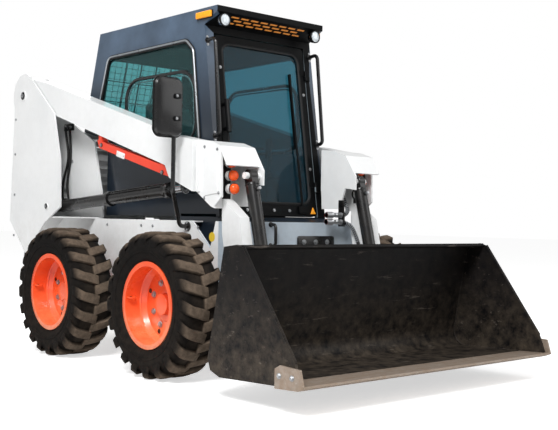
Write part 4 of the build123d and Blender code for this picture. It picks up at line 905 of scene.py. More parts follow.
@dataclass
class Solids:
    """Finishes of the nodes whose own shape stays."""

    nodes: dict[str, bpy.types.Object]
    # Depth of the cab's outer skin and top of its grey lining, in metres.
    skin: float = 0.06
    lining_top: float = 1.4

    def plan(self) -> dict[str, Finish]:
        """Give each kind of node its finish.

        Returns:
            Finishes by the start of the node's name.
        """
        return {
            "rim_": WHEEL_ENAMEL_LIT_BELOW,
            "axle_": BLACK_ENAMEL,
            "bucket_": BUCKET_PAINT,
            "cutting_": SCOURED_STEEL,
            "hitch_": BLACK_ENAMEL,
            "lift_barrel": BLACK_ENAMEL,
            "tilt_barrel": BLACK_ENAMEL,
            "lift_rod": HARD_CHROME,
            "tilt_rod": HARD_CHROME,
            "cab_frame": SLATE_COAT_LIT_AND_SHADED,
            "cab_windows": SIDE_GLASS,
            "door_glass": DOOR_GLASS,
            "door_frame": BLACK_COAT,
            "arm_brace": BRACE_ENAMEL,
            "engine_": ENGINE_GREY,
            "rear_bumper": GREY_ENAMEL_SHADED,
            "boom_cross_tube": WHITE_ENAMEL,
        }

    def dress(self) -> None:
        """Put the finishes on."""
        plan = self.plan()
        for name, thing in self.nodes.items():
            look = next((f for start, f in plan.items() if name.startswith(start)), WHITE_ENAMEL)
            thing.data.materials.clear()
            thing.data.materials.append(look.material())
        self.second("cab_frame", BLACK_COAT, self.inside_or_front)
        self.second("cab_frame", LINING_GREY, self.low_inside)
        # Faces looking ahead take a blue-grey painted shade over the white.
        self.second("chassis_frame", WHITE_FRONT_PAINTED_SHADE, self.faces_ahead)
        # Faces looking down take tan: dried spray together with painted shade under the mudguards.
        self.second("chassis_frame", DUSTY_SHADED_ENAMEL, self.faces_down)

    def second(self, name: str, look: Finish, chosen: Callable[[Vector, Vector], bool]) -> None:
        """Give some faces of a node another finish.

        Args:
            name: The node.
            look: Finish of the chosen faces.
            chosen: Tells from a face's centre and its normal whether it is one.
        """
        mesh = self.nodes[name].data
        mesh.materials.append(look.material())
        slot = len(mesh.materials) - 1
        for face in mesh.polygons:
            if chosen(face.center, face.normal):
                face.material_index = slot

    def inside_or_front(self, centre: Vector, way: Vector) -> bool:
        """Tell whether a cab face is inside, on the front or on the visor.

        Args:
            centre: The face's centre.
            way: Its normal.

        Returns:
            Whether it is one.
        """
        outside = abs(centre.x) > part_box("cab_frame")[1].x - self.skin and way.x * centre.x > 0
        return not (outside or way.z > 0.7 or way.y > 0.4)

    def low_inside(self, centre: Vector, way: Vector) -> bool:
        """Tell whether a cab face lines the inside below the windows.

        Args:
            centre: The face's centre.
            way: Its normal.

        Returns:
            Whether it is one.
        """
        return abs(way.x) > 0.7 and way.x * centre.x < 0 and centre.z < self.lining_top

    def faces_ahead(self, centre: Vector, way: Vector) -> bool:
        """Tell whether a chassis face looks ahead from the front wall.

        Args:
            centre: The face's centre.
            way: Its normal.

        Returns:
            Whether it is one.
        """
        return way.y < -0.5 and centre.y < -0.4

    def faces_down(self, centre: Vector, way: Vector) -> bool:
        """Tell whether a chassis face is the underside of a mudguard or looks down.

        Args:
            centre: The face's centre.
            way: Its normal.

        Returns:
            Whether it is one.
        """
        return way.z < -0.3 or (0.2 < centre.y < 1.3 and 0.3 < way.z < 0.95 and 0.6 < centre.z < 0.9)


# ------------------------------------------------------------------ wheels


@dataclass
class Wheel:
    """A tyre with two rows of leaning lugs, and the fittings of its rim."""

    where: str
    side: Side
    lugs: int = 20
    width: float = 264.0
    crown: float = 363.0
    reach: float = 387.0
    lug_width: float = 62.0
    lean: float = 66.0
    # Rim's width and depth to its disc, radius where mud starts on the lugs, and rise over which it grows full.
    rim_width: float = 223.0
    disc: float = 125.0
    mud_from: float = 360.0
    mud_depth: float = 20.0
    studs: int = 8
    stud_circle: float = 118.0

    @property
    def body(self) -> str:
        """Name of the wheel's body.

        Returns:
            The body's name.
        """
        return f"wheel_{self.where}_{self.side.word}"

    def middle(self) -> Vector:
        """Middle of the tyre, from its node.

        Returns:
            The point in the machine's frame.
        """
        low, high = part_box(f"tyre_{self.where}_{self.side.word}")
        return (low + high) / 2

    def spot(self, out: float, radius: float, angle: float) -> Vector:
        """Give a point of the wheel.

        Args:
            out: Millimetres from the tyre's centre plane towards the outside.
            radius: Millimetres from the axle.
            angle: Radians round the axle.

        Returns:
            The point in the machine's frame.
        """
        turn = Vector((0, math.cos(angle), math.sin(angle))) * (radius / 1000)
        return self.middle() + self.side.at(out, 0, 0) + turn

    def carcass(self, piece: Piece) -> None:
        """Spin the casing with its sidewall rings.

        Args:
            piece: Tyre that takes it.
        """
        half = self.width / 2
        face = [
            (99, 212), (104, 232), (112, 236), (118, 244), (124, 262), (half - 5, 275), (half - 1, 277),
            (half - 1, 283), (half - 4, 285), (half - 2, 300), (half - 3, 314), (half - 10, 331),
            (half - 24, 349), (half - 46, 358), (52, self.crown - 1),
        ]
        profile = [*face, (0, self.crown), *[(-a, r) for a, r in reversed(face)]]
        piece.lathe(profile, self.middle(), self.side.out, 104)

    def lugs_of(self, piece: Piece, row: int) -> None:
        """Shape a lug from the middle of the tread over the shoulder, and repeat it round the tyre.

        Args:
            piece: Tyre that takes them.
            row: 1 for the outer row, -1 for the inner.
        """
        half = self.width / 2
        # Distance out, top radius, base radius.
        run = (
            (-13, 381, 357), (30, 384, 358), (78, 384, 357), (106, 380, 352), (half - 9, 368, 342),
            (half, 345, 325), (half, 318, 306),
        )
        made = bmesh.new()
        bmesh.ops.create_cube(made, size=1.0)
        long = [e for e in made.edges if abs(e.verts[0].co.x - e.verts[1].co.x) > 0.5]
        bmesh.ops.subdivide_edges(made, edges=long, cuts=len(run) - 2, use_grid_fill=True)
        start = math.tau * (0.5 if row < 0 else 0) / self.lugs + math.pi / 2
        for vert in made.verts:
            along = round((vert.co.x + 0.5) * (len(run) - 1))
            out, top, base = run[along]
            high = vert.co.z > 0
            radius = top if high else base
            wide = (self.lug_width - 3 if high else self.lug_width + 11) * (0.86 + 0.05 * abs(along - 2))
            share = along / (len(run) - 1)
            swing = -self.lean / 2 + self.lean * min(1.0, share * 1.25) + vert.co.y * wide
            if along == len(run) - 1 or along == len(run) - 2:
                out = out if high else out - 9
            angle = start - swing / self.reach
            vert.co = self.spot(row * out, radius, angle)
        self.soften_lug(made)
        bmesh.ops.spin(
            made, geom=[*made.verts, *made.edges, *made.faces], cent=self.middle(), axis=(1, 0, 0), dvec=(0, 0, 0),
            angle=math.tau * (self.lugs - 1) / self.lugs, steps=self.lugs - 1, use_duplicate=True,
        )
        piece.add(made)

    def soften_lug(self, made: bmesh.types.BMesh) -> None:
        """Round the edges of a lug a little, as moulded.

        Args:
            made: The lug.
        """
        bmesh.ops.recalc_face_normals(made, faces=made.faces)
        edges = [e for e in made.edges if len(e.link_faces) == 2 and e.calc_face_angle() > 0.7]
        bmesh.ops.bevel(
            made, geom=edges, offset=0.003, segments=2, profile=0.5, affect="EDGES", material=-1, clamp_overlap=True
        )

    def tyre(self) -> None:
        """Build the tyre in place of its node."""
        piece = Piece(f"tread_{self.where}_{self.side.word}", self.body, (TYRE_RUBBER,), 42)
        self.carcass(piece)
        for row in (1, -1):
            self.lugs_of(piece, row)
        made = piece.finish(f"tyre_{self.where}_{self.side.word}", slot="tyre")
        crown = made.data.attributes.new("crown", "FLOAT", "POINT")
        middle = self.middle()
        for vert, value in zip(made.data.vertices, crown.data):
            across = vert.co - middle
            across.x = 0
            value.value = min(1.0, max(0.0, (across.length * 1000 - self.mud_from) / self.mud_depth))

    def fittings(self) -> None:
        """Set nuts, flat black discs as painted shade of the disc's holes, weld, hub cap and valve guard on the wheel
        disc.
        """
        piece = Piece(
            f"wheel_fittings_{self.where}_{self.side.word}", self.body, (ZINC_PLATE, WHEEL_ENAMEL_LIT_BELOW, BLACK_ENAMEL)
        )
        edge = self.rim_width / 2
        face = edge - self.disc
        out = self.side.out
        for n in range(self.studs):
            angle = math.tau * (n + 0.5) / self.studs
            foot = self.spot(face - 0.5, self.stud_circle, angle)
            piece.cap(foot, out, (19, 5), (2, 4), 24, 1)
            piece.bolt(foot + out * 0.004, out, 25, 0)
        # Flat black discs: painted shade of the holes in the wheel disc.
        for n in range(4):
            foot = self.spot(face - 0.5, 160, math.tau * (n + 0.25) / 4)
            piece.lathe([(0, 0), (0, 13), (1.2, 13), (1.2, 0)], foot, out, 24, 2)
        # Weld between disc and rim, and the hub cap's step.
        piece.lathe([(22, 203), (28, 196), (34, 203)], self.spot(face, 0, 0), out, 72, 1)
        piece.lathe([(33, 56), (36, 54), (38, 46), (39, 30), (39, 0)], self.spot(face, 0, 0), out, 48, 1)
        piece.lathe([(0, 92), (3, 90), (5, 84), (5, 60), (0, 56)], self.spot(face, 0, 0), out, 60, 1)
        # Rolled edge of the outer flange.
        piece.lathe([(edge - 2, 203), (edge + 1.5, 207), (edge + 1.5, 222), (edge - 1, 227)], self.middle(), out, 96, 1)
        # Valve and the loop that guards it, on the rim's inner wall.
        lift = math.radians(8)
        loop = [self.spot(edge - far, r, lift) for far, r in ((14, 204), (14, 177), (52, 177), (52, 204))]
        piece.tube(rounded(loop, 0.012), 4.5, paint=1)
        piece.rod(self.spot(edge - 33, 203, lift), self.spot(edge - 30, 184, lift), 4, 1, 2)
        piece.finish(slot="orange_rim")


# ------------------------------------------------------------------ cab


@dataclass
class FrontFace:
    """The leaning plane of the cab's front."""

    foot: tuple[float, float] = (-419.0, 850.0)
    lean: float = math.atan2(168, 1085)

    def at(self, x: float, up: float, ahead: float) -> Vector:
        """Give a point of the front.

        Args:
            x: Millimetres from the middle.
            up: Millimetres up the leaning face.
            ahead: Millimetres ahead of the face.

        Returns:
            The point in the machine's frame.
        """
        sin, cos = math.sin(self.lean), math.cos(self.lean)
        return vec(x, self.foot[0] + up * sin - ahead * cos, self.foot[1] + up * cos + ahead * sin)

    def way(self) -> Vector:
        """Way that the front faces.

        Returns:
            A vector of one metre.
        """
        return self.at(0, 0, 1000) - self.at(0, 0, 0)


@dataclass
class Windows:
    """Seals, trims and the sliding pane of the cab's windows, and the rear guard mesh."""

    outline: tuple[tuple[float, float], ...] = (
        (-225, 1255), (690, 1255), (860, 1540), (754, 1850), (-86, 1855), (-150, 1800),
    )
    corner: float = 45.0
    rear_foot: tuple[float, float] = (1060.0, 1400.0)
    rear_top: tuple[float, float] = (878.0, 2028.0)
    rear_half: float = 300.0
    rear_low: float = 90.0
    rear_high: float = 500.0

    def ring(self, x: float, grow: float) -> list[Vector]:
        """Give the side window's outline, grown or shrunk.

        Args:
            x: Millimetres from the middle of the machine.
            grow: Millimetres outwards.

        Returns:
            Points round the window.
        """
        flat = [Vector((y, z)) for y, z in self.outline]
        route = []
        for before, here, after in zip([flat[-1], *flat], flat, [*flat[1:], flat[0]]):
            back, ahead = (here - before).normalized(), (after - here).normalized()
            sides = Vector((back.y, -back.x)) + Vector((ahead.y, -ahead.x))
            push = sides * (grow / (1 + back.dot(ahead)))
            route.append(vec(x, here.x + push.x, here.y + push.y))
        return rounded(route, (self.corner + grow) / 1000, closed=True)

    def side_windows(self) -> None:
        """Fit the rubber seal, a bright bead that paints its highlight, and the sliding pane's frame on both sides."""
        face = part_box("cab_frame")[1].x * 1000 - 29
        for side in SIDES:
            piece = Piece(f"window_trim_{side.word}", "chassis", (EPDM_RUBBER, SEAL_HIGHLIGHT_TRIM, BLACK_ENAMEL))
            piece.tube(self.ring(side.value * (face - 1), 0), 7, closed=True)
            # Bright bead along the seal: painted highlight.
            piece.tube(self.ring(side.value * (face + 3), 10), 6, closed=True, paint=1)
            piece.tube(self.ring(side.value * (face - 1), 17), 4, closed=True)
            pane = side.value * (face - 14)
            frame = [(560, 1262), (560, 1690), (-150, 1690), (-190, 1262)]
            piece.tube(rounded([vec(pane, y, z) for y, z in frame], 0.13, closed=True), 11, closed=True, paint=2)
            inner = [(538, 1280), (538, 1668), (-134, 1668), (-170, 1280)]
            # The same bright line inside the pane's frame: painted highlight.
            piece.tube(
                rounded([vec(pane - side.value * 3, y, z) for y, z in inner], 0.11, closed=True),
                5, closed=True, paint=1,
            )
            piece.block(vec(pane + side.value * 9, 200, 1300), vec(8, 70, 16), 0.003, 2)
            piece.finish(slot="black_plastic")

    def rear(self, across: float, up: float, out: float) -> Vector:
        """Give a point of the leaning rear wall.

        Args:
            across: Millimetres from the middle.
            up: Millimetres up the wall.
            out: Millimetres outwards.

        Returns:
            The point in the machine's frame.
        """
        slope = math.atan2(self.rear_foot[0] - self.rear_top[0], self.rear_top[1] - self.rear_foot[1])
        sin, cos = math.sin(slope), math.cos(slope)
        return vec(across, self.rear_foot[0] - up * sin + out * cos, self.rear_foot[1] + up * cos + out * sin)

    def rear_window(self) -> None:
        """Seal the rear pane and weld thin mesh between its guard bars."""
        piece = Piece("rear_guard_mesh", "chassis", (BLACK_ENAMEL, EPDM_RUBBER))
        corners = [
            (-self.rear_half, self.rear_low), (self.rear_half, self.rear_low), (self.rear_half, self.rear_high),
            (-self.rear_half, self.rear_high),
        ]
        piece.tube(rounded([self.rear(x, v, 0) for x, v in corners], 0.04, closed=True), 7, closed=True, paint=1)
        count = 14
        for n in range(1, count):
            x = self.rear_half * (2 * n / count - 1)
            piece.tube([self.rear(x, self.rear_low - 6, -19), self.rear(x, self.rear_high + 6, -19)], 1.8, rings=1)
        for n in range(1, 10):
            up = self.rear_low + (self.rear_high - self.rear_low) * n / 10
            piece.tube([self.rear(-self.rear_half - 6, up, -17), self.rear(self.rear_half + 6, up, -17)], 1.8, rings=1)
        piece.finish(slot="black_plastic")


@dataclass
class CabFront:
    """What is fitted on the cab's front: door seals, visor grille, lamps and grab handles."""

    front: FrontFace = field(default_factory=FrontFace)
    glass_half: float = 293.0
    glass_low: float = 87.0
    glass_high: float = 1003.9
    visor_lip: tuple[float, float] = (-368.0, 1996.0)
    band: tuple[float, float] = (-251.0, 1935.0)
    slots: int = 8
    lamp_x: float = 347.0
    lamp_z: float = 1953.0
    lamp_radius: float = 38.0

    def door_seals(self) -> None:
        """Run a rubber seal round the door's glass and put bolts on its frame."""
        piece = Piece("door_seal", "door", (EPDM_RUBBER, MOULDED_PLASTIC, ZINC_PLATE, AMBER_LENS))
        half, low, high = self.glass_half, self.glass_low, self.glass_high
        ring = [(-half, low), (half, low), (half, high), (-half, high)]
        piece.tube(rounded([self.front.at(x, v, -4) for x, v in ring], 0.06, closed=True), 7, closed=True)
        grown = [(-half - 9, low - 9), (half + 9, low - 9), (half + 9, high + 9), (-half - 9, high + 9)]
        piece.tube(rounded([self.front.at(x, v, 0) for x, v in grown], 0.07, closed=True), 2, closed=True, paint=1)
        for x, v in ((-316, 180), (-316, 860), (-200, 44), (0, 44), (120, 44), (316, 300), (316, 760)):
            piece.bolt(self.front.at(x, v, 0), self.front.way(), 13, 2)
        # Triangular reflector at the lower corner.
        corner = [self.front.at(x, v, 0.5) for x, v in ((285, 26), (327, 26), (306, 66))]
        piece.slab(corner, self.front.way() * 0.006, 0.0015, 3)
        # Grip cover on the pull handle.
        piece.tube([self.front.at(-315, 478, 36), self.front.at(-315, 662, 36)], 13, paint=1)
        piece.finish(slot="black_plastic")

    def grille(self) -> None:
        """Lay a copper-toned mesh plate, glowing as painted light, in each slot of the visor's underside."""
        piece = Piece("visor_grille", "chassis", (GLOWING_COPPER_PRIMER,))
        drop = math.atan2(self.visor_lip[1] - self.band[1], self.band[0] - self.visor_lip[0])
        down = Vector((0, -math.sin(drop), -math.cos(drop)))
        back = Vector((0, math.cos(drop), -math.sin(drop)))
        pitch = (self.lamp_x - self.lamp_radius - 20) * 2 / self.slots
        turn = Matrix.Rotation(-drop, 3, "X")
        for row in range(3):
            count = self.slots - row % 2
            for n in range(count):
                x = (n - (count - 1) / 2) * pitch
                seat = vec(x, *self.visor_lip) + back * (0.034 + 0.027 * row) - down * 0.005
                piece.block(seat, vec(pitch - 16, 15, 6), 0.0015, turn=turn)
        piece.finish(slot="orange_bar")

    def work_lamps(self) -> None:
        """Build the round lamps with their chromed shells and fluted lenses."""
        piece = Piece("visor_lamps", "chassis", (CHROME_SHELL, CLEAR_LENS, MOULDED_PLASTIC, LAMP_BOWL))
        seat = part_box("work_lamps")[1].y
        r = self.lamp_radius
        for side in SIDES:
            back = Vector((side.value * self.lamp_x / 1000, seat, self.lamp_z / 1000))
            ahead = Vector((0, -1, 0))
            piece.lathe([(0, 0), (0, 22), (3, 27), (14, 34), (28, r - 1), (34, r - 0.4)], back, ahead, 48, 0)
            piece.lathe([(33, r - 2), (34, r), (43, r), (45, r - 2), (45, r - 5), (41, r - 6)], back, ahead, 48, 2)
            piece.lathe([(41, r - 5), (43, r - 9), (46, 20), (47, 0)], back, ahead, 48, 1)
            piece.lathe([(40, r - 6), (30, 26), (20, 14), (17, 0)], back, ahead, 32, 3)
            piece.block(back + Vector((0, -0.018, 0.040)), vec(22, 26, 10), 0.002, 2)
        piece.finish("work_lamps", slot="lamp_lens")

    def marker_lamps(self) -> None:
        """Build the amber markers on the roof's sides and the tail lamps on the bumper."""
        piece = Piece("side_markers", "chassis", (AMBER_LENS, MOULDED_PLASTIC, RED_LENS, CLEAR_LENS))
        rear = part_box("marker_lamps")[1].y * 1000
        for side in SIDES:
            piece.block(side.at(408, -259, 1986), vec(6, 144, 43), 0.002, 1)
            piece.block(side.at(418, -259, 1986), vec(17, 136, 36), 0.005, 0)
            for n in range(7):
                piece.block(side.at(426.5, -259 - 54 + 18 * n, 1986), vec(2, 3, 30), 0.0008, 0)
            piece.block(side.at(500, rear - 11, 700), vec(36, 6, 114), 0.002, 1)
            for z, tall, paint in ((724, 50, 2), (684, 28, 0), (660, 16, 3)):
                piece.block(side.at(500, rear - 5, z), vec(30, 10, tall), 0.003, paint)
        piece.finish("marker_lamps", slot="amber_lens")

    def handles(self) -> None:
        """Bend the grab handles and bolt their feet down."""
        piece = Piece("grab_rails", "chassis", (BLACK_ENAMEL, ZINC_PLATE))
        for side in SIDES:
            x = side.value * 393
            route = [(1005, 0), (1005, 72), (455, 48), (455, 0)]
            piece.tube(rounded([self.front.at(x, v, w) for v, w in route], 0.03), 11)
            for v in (1005, 455):
                foot = self.front.at(x, v, 0.3)
                piece.cap(foot, self.front.way(), (17, 5), (1, 5))
                for lift in (-22, 22):
                    piece.bolt(self.front.at(x, v + lift, 0.3), self.front.way(), 11, 1)
        piece.finish("grab_handles", slot="cab_paint")


@dataclass
class Mirror:
    """The mirror on the right front corner."""

    pole: float = 682.0
    head: tuple[float, float] = (182.0, 315.0)
    centre: tuple[float, float, float] = (-728.0, -382.0, 1430.0)
    radius: float = 12.0

    def shell(self) -> None:
        """Build the pole with its clamps, and the head with its glass."""
        piece = Piece("mirror_assembly", "chassis", (BLACK_ENAMEL, SILVERED_GLASS, ZINC_PLATE, MOULDED_PLASTIC), 50)
        route = [vec(-520.3, -285, 795), vec(-575, -285, 795), vec(-self.pole, -365, 985), vec(-self.pole, -365, 1560)]
        piece.tube(rounded(route, 0.055), self.radius)
        piece.cap(vec(-520.3, -285, 795), Vector((-1, 0, 0)), (27, 8), (2, 9), 32)
        for lift in (-18, 18):
            piece.bolt(vec(-526, -285, 795 + lift), Vector((-1, 0, 0)), 12, 2)
        wide, tall = self.head
        x, y, z = self.centre
        bend = 0.042
        corners = [(-wide / 2, -tall / 2), (wide / 2, -tall / 2), (wide / 2, tall / 2), (-wide / 2, tall / 2)]
        ring = [vec(x + a, y + 14, z + b) for a, b in corners]
        outline = rounded(ring, bend, closed=True)
        made = bmesh.new()
        made.faces.new([made.verts.new(p) for p in outline])
        face = made.faces[:]
        # The back shell grows forward in three drawn-in steps.
        for deep, inset in ((0.012, 0.002), (0.010, 0.007), (0.004, 0.014)):
            grown = bmesh.ops.extrude_face_region(made, geom=face)["geom"]
            face = [g for g in grown if isinstance(g, bmesh.types.BMFace)]
            moved = list({v for f in face for v in f.verts})
            bmesh.ops.translate(made, verts=moved, vec=(0, -deep, 0))
            middle = vec(x, y, z)
            shrink = Matrix.Diagonal((1 - inset * 2000 / wide, 1, 1 - inset * 2000 / tall, 1))
            here = Matrix.Translation(-middle)
            bmesh.ops.transform(made, matrix=shrink, space=here, verts=moved)
        piece.add(made, 0)
        piece.tube([p + Vector((0, -0.001, 0)) for p in outline], 5, closed=True, paint=3)
        glass = rounded([vec(x + a * 0.9, y + 15, z + b * 0.94) for a, b in corners], 0.034, closed=True)
        piece.slab(glass, Vector((0, 0.001, 0)), 0, 1)
        for lift in (-60, 60):
            piece.block(vec(-self.pole, y - 2, z + lift), vec(34, 44, 26), 0.004, 3)
            piece.bolt(vec(-self.pole - 10, y - 24, z + lift), Vector((0, -1, 0)), 11, 2)
        piece.finish("side_mirror", slot="black_plastic")


# ------------------------------------------------------------------ boom and hydraulics


@dataclass
class Knees:
    """Lamps, pins and plates on the boom's knees."""

    wall_y: float = -592.3
    radius: float = 31.0
    # Middle of the machine to the lamp, height, length.
    lamps: tuple[tuple[float, float, float], ...] = (
        (492.0, 1138.0, 58.0), (488.0, 1069.0, 70.0), (484.0, 999.0, 74.0),
    )

    def lamp_stack(self) -> None:
        """Build the three lamps of each knee: white bodies with orange lenses."""
        piece = Piece("knee_lamp_stack", "boom", (WHITE_PLASTIC, ORANGE_LENS, MOULDED_PLASTIC, CHROME_SHELL))
        ahead = Vector((0, -1, 0))
        for side in SIDES:
            for x, z, length in self.lamps:
                start = side.at(x, self.wall_y, z)
                r, neck = self.radius, length - 34
                piece.cap(start, ahead, (r, 8), (1, 3), 40, 2)
                shell = [(7, 0), (7, r - 5), (neck, r - 4), (neck + 1, r - 2), (neck + 4, r - 2), (neck + 4, 0)]
                piece.lathe(shell, start, ahead, 40, 0)
                piece.lathe([(neck + 3, r - 1), (neck + 8, r), (neck + 11, r - 1)], start, ahead, 40, 3)
                dome = [(neck + 4, r - 3), (length - 12, r - 4), (length - 4, r - 10), (length, r - 20)]
                piece.lathe([(neck + 4, 0), *dome, (length, 0)], start, ahead, 40, 1)
        piece.finish("knee_lamps", slot="amber_lens")

    def plates(self) -> None:
        """Set the hinge pin caps, grease nipples, cover screws and a dark plate painting the shade of the lamps' recess
        on the boom.
        """
        piece = Piece("boom_pins", "boom", (ZINC_PLATE, BLACK_ENAMEL, TURNED_BRASS, MOULDED_PLASTIC))
        for side in SIDES:
            out = side.out
            # Cap of the bucket hinge's pin.
            foot = side.at(520.2, -810, 240)
            piece.lathe([(0, 0), (0, 38), (7, 37), (9, 33), (9, 0)], foot, out, 36, 1)
            piece.bolt(foot + out * 0.009, out, 16, 0)
            for y, z in ((-610, 1205), (-628, 975), (-500, 1222), (-505, 948)):
                piece.bolt(side.at(575, y, z), out, 12, 0)
            # Two brass nipples above the knee's pin.
            nipple = [(0, 5), (7, 5), (8, 3.5), (13, 3), (15, 4), (17, 2), (17, 0)]
            for y, z in ((-300, 1055), (-262, 1062)):
                piece.lathe(nipple, side.at(575, y, z), out, 16, 2)
            # Dark plate behind the lamps: painted shade of their recess.
            piece.block(side.at(520, self.wall_y - 1.2, 1070), vec(102, 2, 250), 0.0009, 3)
        piece.finish(slot="dark_steel")


@dataclass
class Brace:
    """Fittings of the service brace: a blank plate, its pins and clips."""

    slope: float = math.radians(14.5)

    def plate(self) -> None:
        """Rivet a blank white plate on the brace and pin its ends."""
        piece = Piece("brace_plate", "boom", (WHITE_PLASTIC, ZINC_PLATE, BLACK_ENAMEL))
        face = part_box("arm_brace")[0].x * 1000
        turn = Matrix.Rotation(self.slope, 3, "X")
        piece.block(vec(face - 0.8, 285, 1207), vec(2, 92, 34), 0.0008, 0, turn)
        out = Vector((-1, 0, 0))
        for along in (-38, 38):
            shift = turn @ Vector((0, along / 1000, 0))
            piece.lathe([(0, 0), (0, 3.5), (1.6, 2.6), (1.6, 0)], vec(face - 1.8, 285, 1207) + shift, out, 12, 1)
        for y, z in ((-150, 1092), (505, 1275)):
            piece.cap(vec(face, y, z), out, (13, 4), (1, 2), 24, 2)
            piece.bolt(vec(face - 4, y, z), out, 14, 1)
        piece.finish(slot="orange_bar")


@dataclass
class Hoses:
    """Couplers and hoses at the left knee, and the hoses in the towers."""

    wall: float = 344.7
    y: float = -624.0
    heights: tuple[float, float] = (832.0, 872.0)
    radius: float = 10.0

    def knee(self) -> None:
        """Build the coupler bracket, couplers and spiral-guarded hoses."""
        piece = Piece("knee_hoses", "boom", (EPDM_RUBBER, SPIRAL_GUARD, ZINC_PLATE, BLACK_ENAMEL, RED_CAP))
        w, y = self.wall, self.y
        outline = [(-600, 806), (-650, 806), (-640, 960), (-600, 960)]
        piece.slab([vec(w, a, b) for a, b in outline], vec(-10, 0, 0), 0.002, 3)
        inward = Vector((-1, 0, 0))
        for z in self.heights:
            start = vec(w - 9, y, z)
            body = [(0, 0), (0, 17), (8, 17), (9, 14), (44, 14), (46, 12), (60, 12), (62, 14), (74, 14), (75, 19)]
            collar = [(80, 19), (82, 17), (86, 17), (88, 19), (112, 19), (119, 17), (121, 15), (121, 0)]
            piece.lathe([*body, *collar], start, inward, 32, 2)
            piece.lathe([(118, 0), (118, 15.5), (121, 15.5), (121, 0)], start, inward, 32, 4)
            nut = [(0, 0), (0, 13), (14, 13), (15, 11), (22, 11), (22, 0)]
            piece.lathe(nut, vec(w - 1, y, z), Vector((1, 0, 0)), 6, 2)
        low, high = self.heights
        for route in (
            [
                vec(w - 5, y, high), vec(w + 62, y, high + 8), vec(w + 74, y + 62, high + 96),
                vec(w + 74, y + 84, high + 168), vec(w + 74, -460.3, high + 168),
            ],
            [
                vec(w - 5, y, low), vec(w + 70, y, low - 8), vec(w + 92, y - 30, low - 84),
                vec(w + 92, y - 56, low - 150),
            ],
        ):
            line = hung(route)
            piece.tube(line, self.radius)
            piece.coil(line[3:-3], self.radius + 1.6, 13, 2.2, 1)
        foot = vec(w + 90, y - 56, low - 140)
        piece.cap(foot, Vector((1, 0, 0)), (15, 20), (2, 2), 24, 2)
        piece.finish("arm_hoses", slot="hose_rubber")

    def tower(self) -> None:
        """Run two hoses and their bulkhead down the inner wall of each tower."""
        piece = Piece("tower_hoses", "chassis", (EPDM_RUBBER, ZINC_PLATE, BLACK_ENAMEL))
        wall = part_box("tower_left")[0].x * 1000 + 12
        for side in SIDES:
            piece.block(side.at(wall + 3, 1150, 1432), vec(5, 130, 46), 0.0015, 2)
            for y, dip in ((1120, 40), (1172, -18)):
                nut = [(0, 0), (0, 9), (9, 9), (10, 7), (15, 7), (15, 0)]
                piece.lathe(nut, side.at(wall + 4, y, 1432), side.out, 6, 1)
                route = (
                    (17, 0, 1432), (17, -6, 1390), (12, -40 + dip / 2, 1220), (12, 30, 1080),
                    (12, 34 - dip / 2, 970), (12, -6, 905), (4, -30, 880),
                )
                piece.tube(hung([side.at(wall + off, y + run, z) for off, run, z in route]), 8)
            for y, z in ((1110, 1204), (1175, 1010)):
                piece.block(side.at(wall + 4, y, z), vec(7, 44, 20), 0.002, 1)
        piece.finish(slot="hose_rubber")


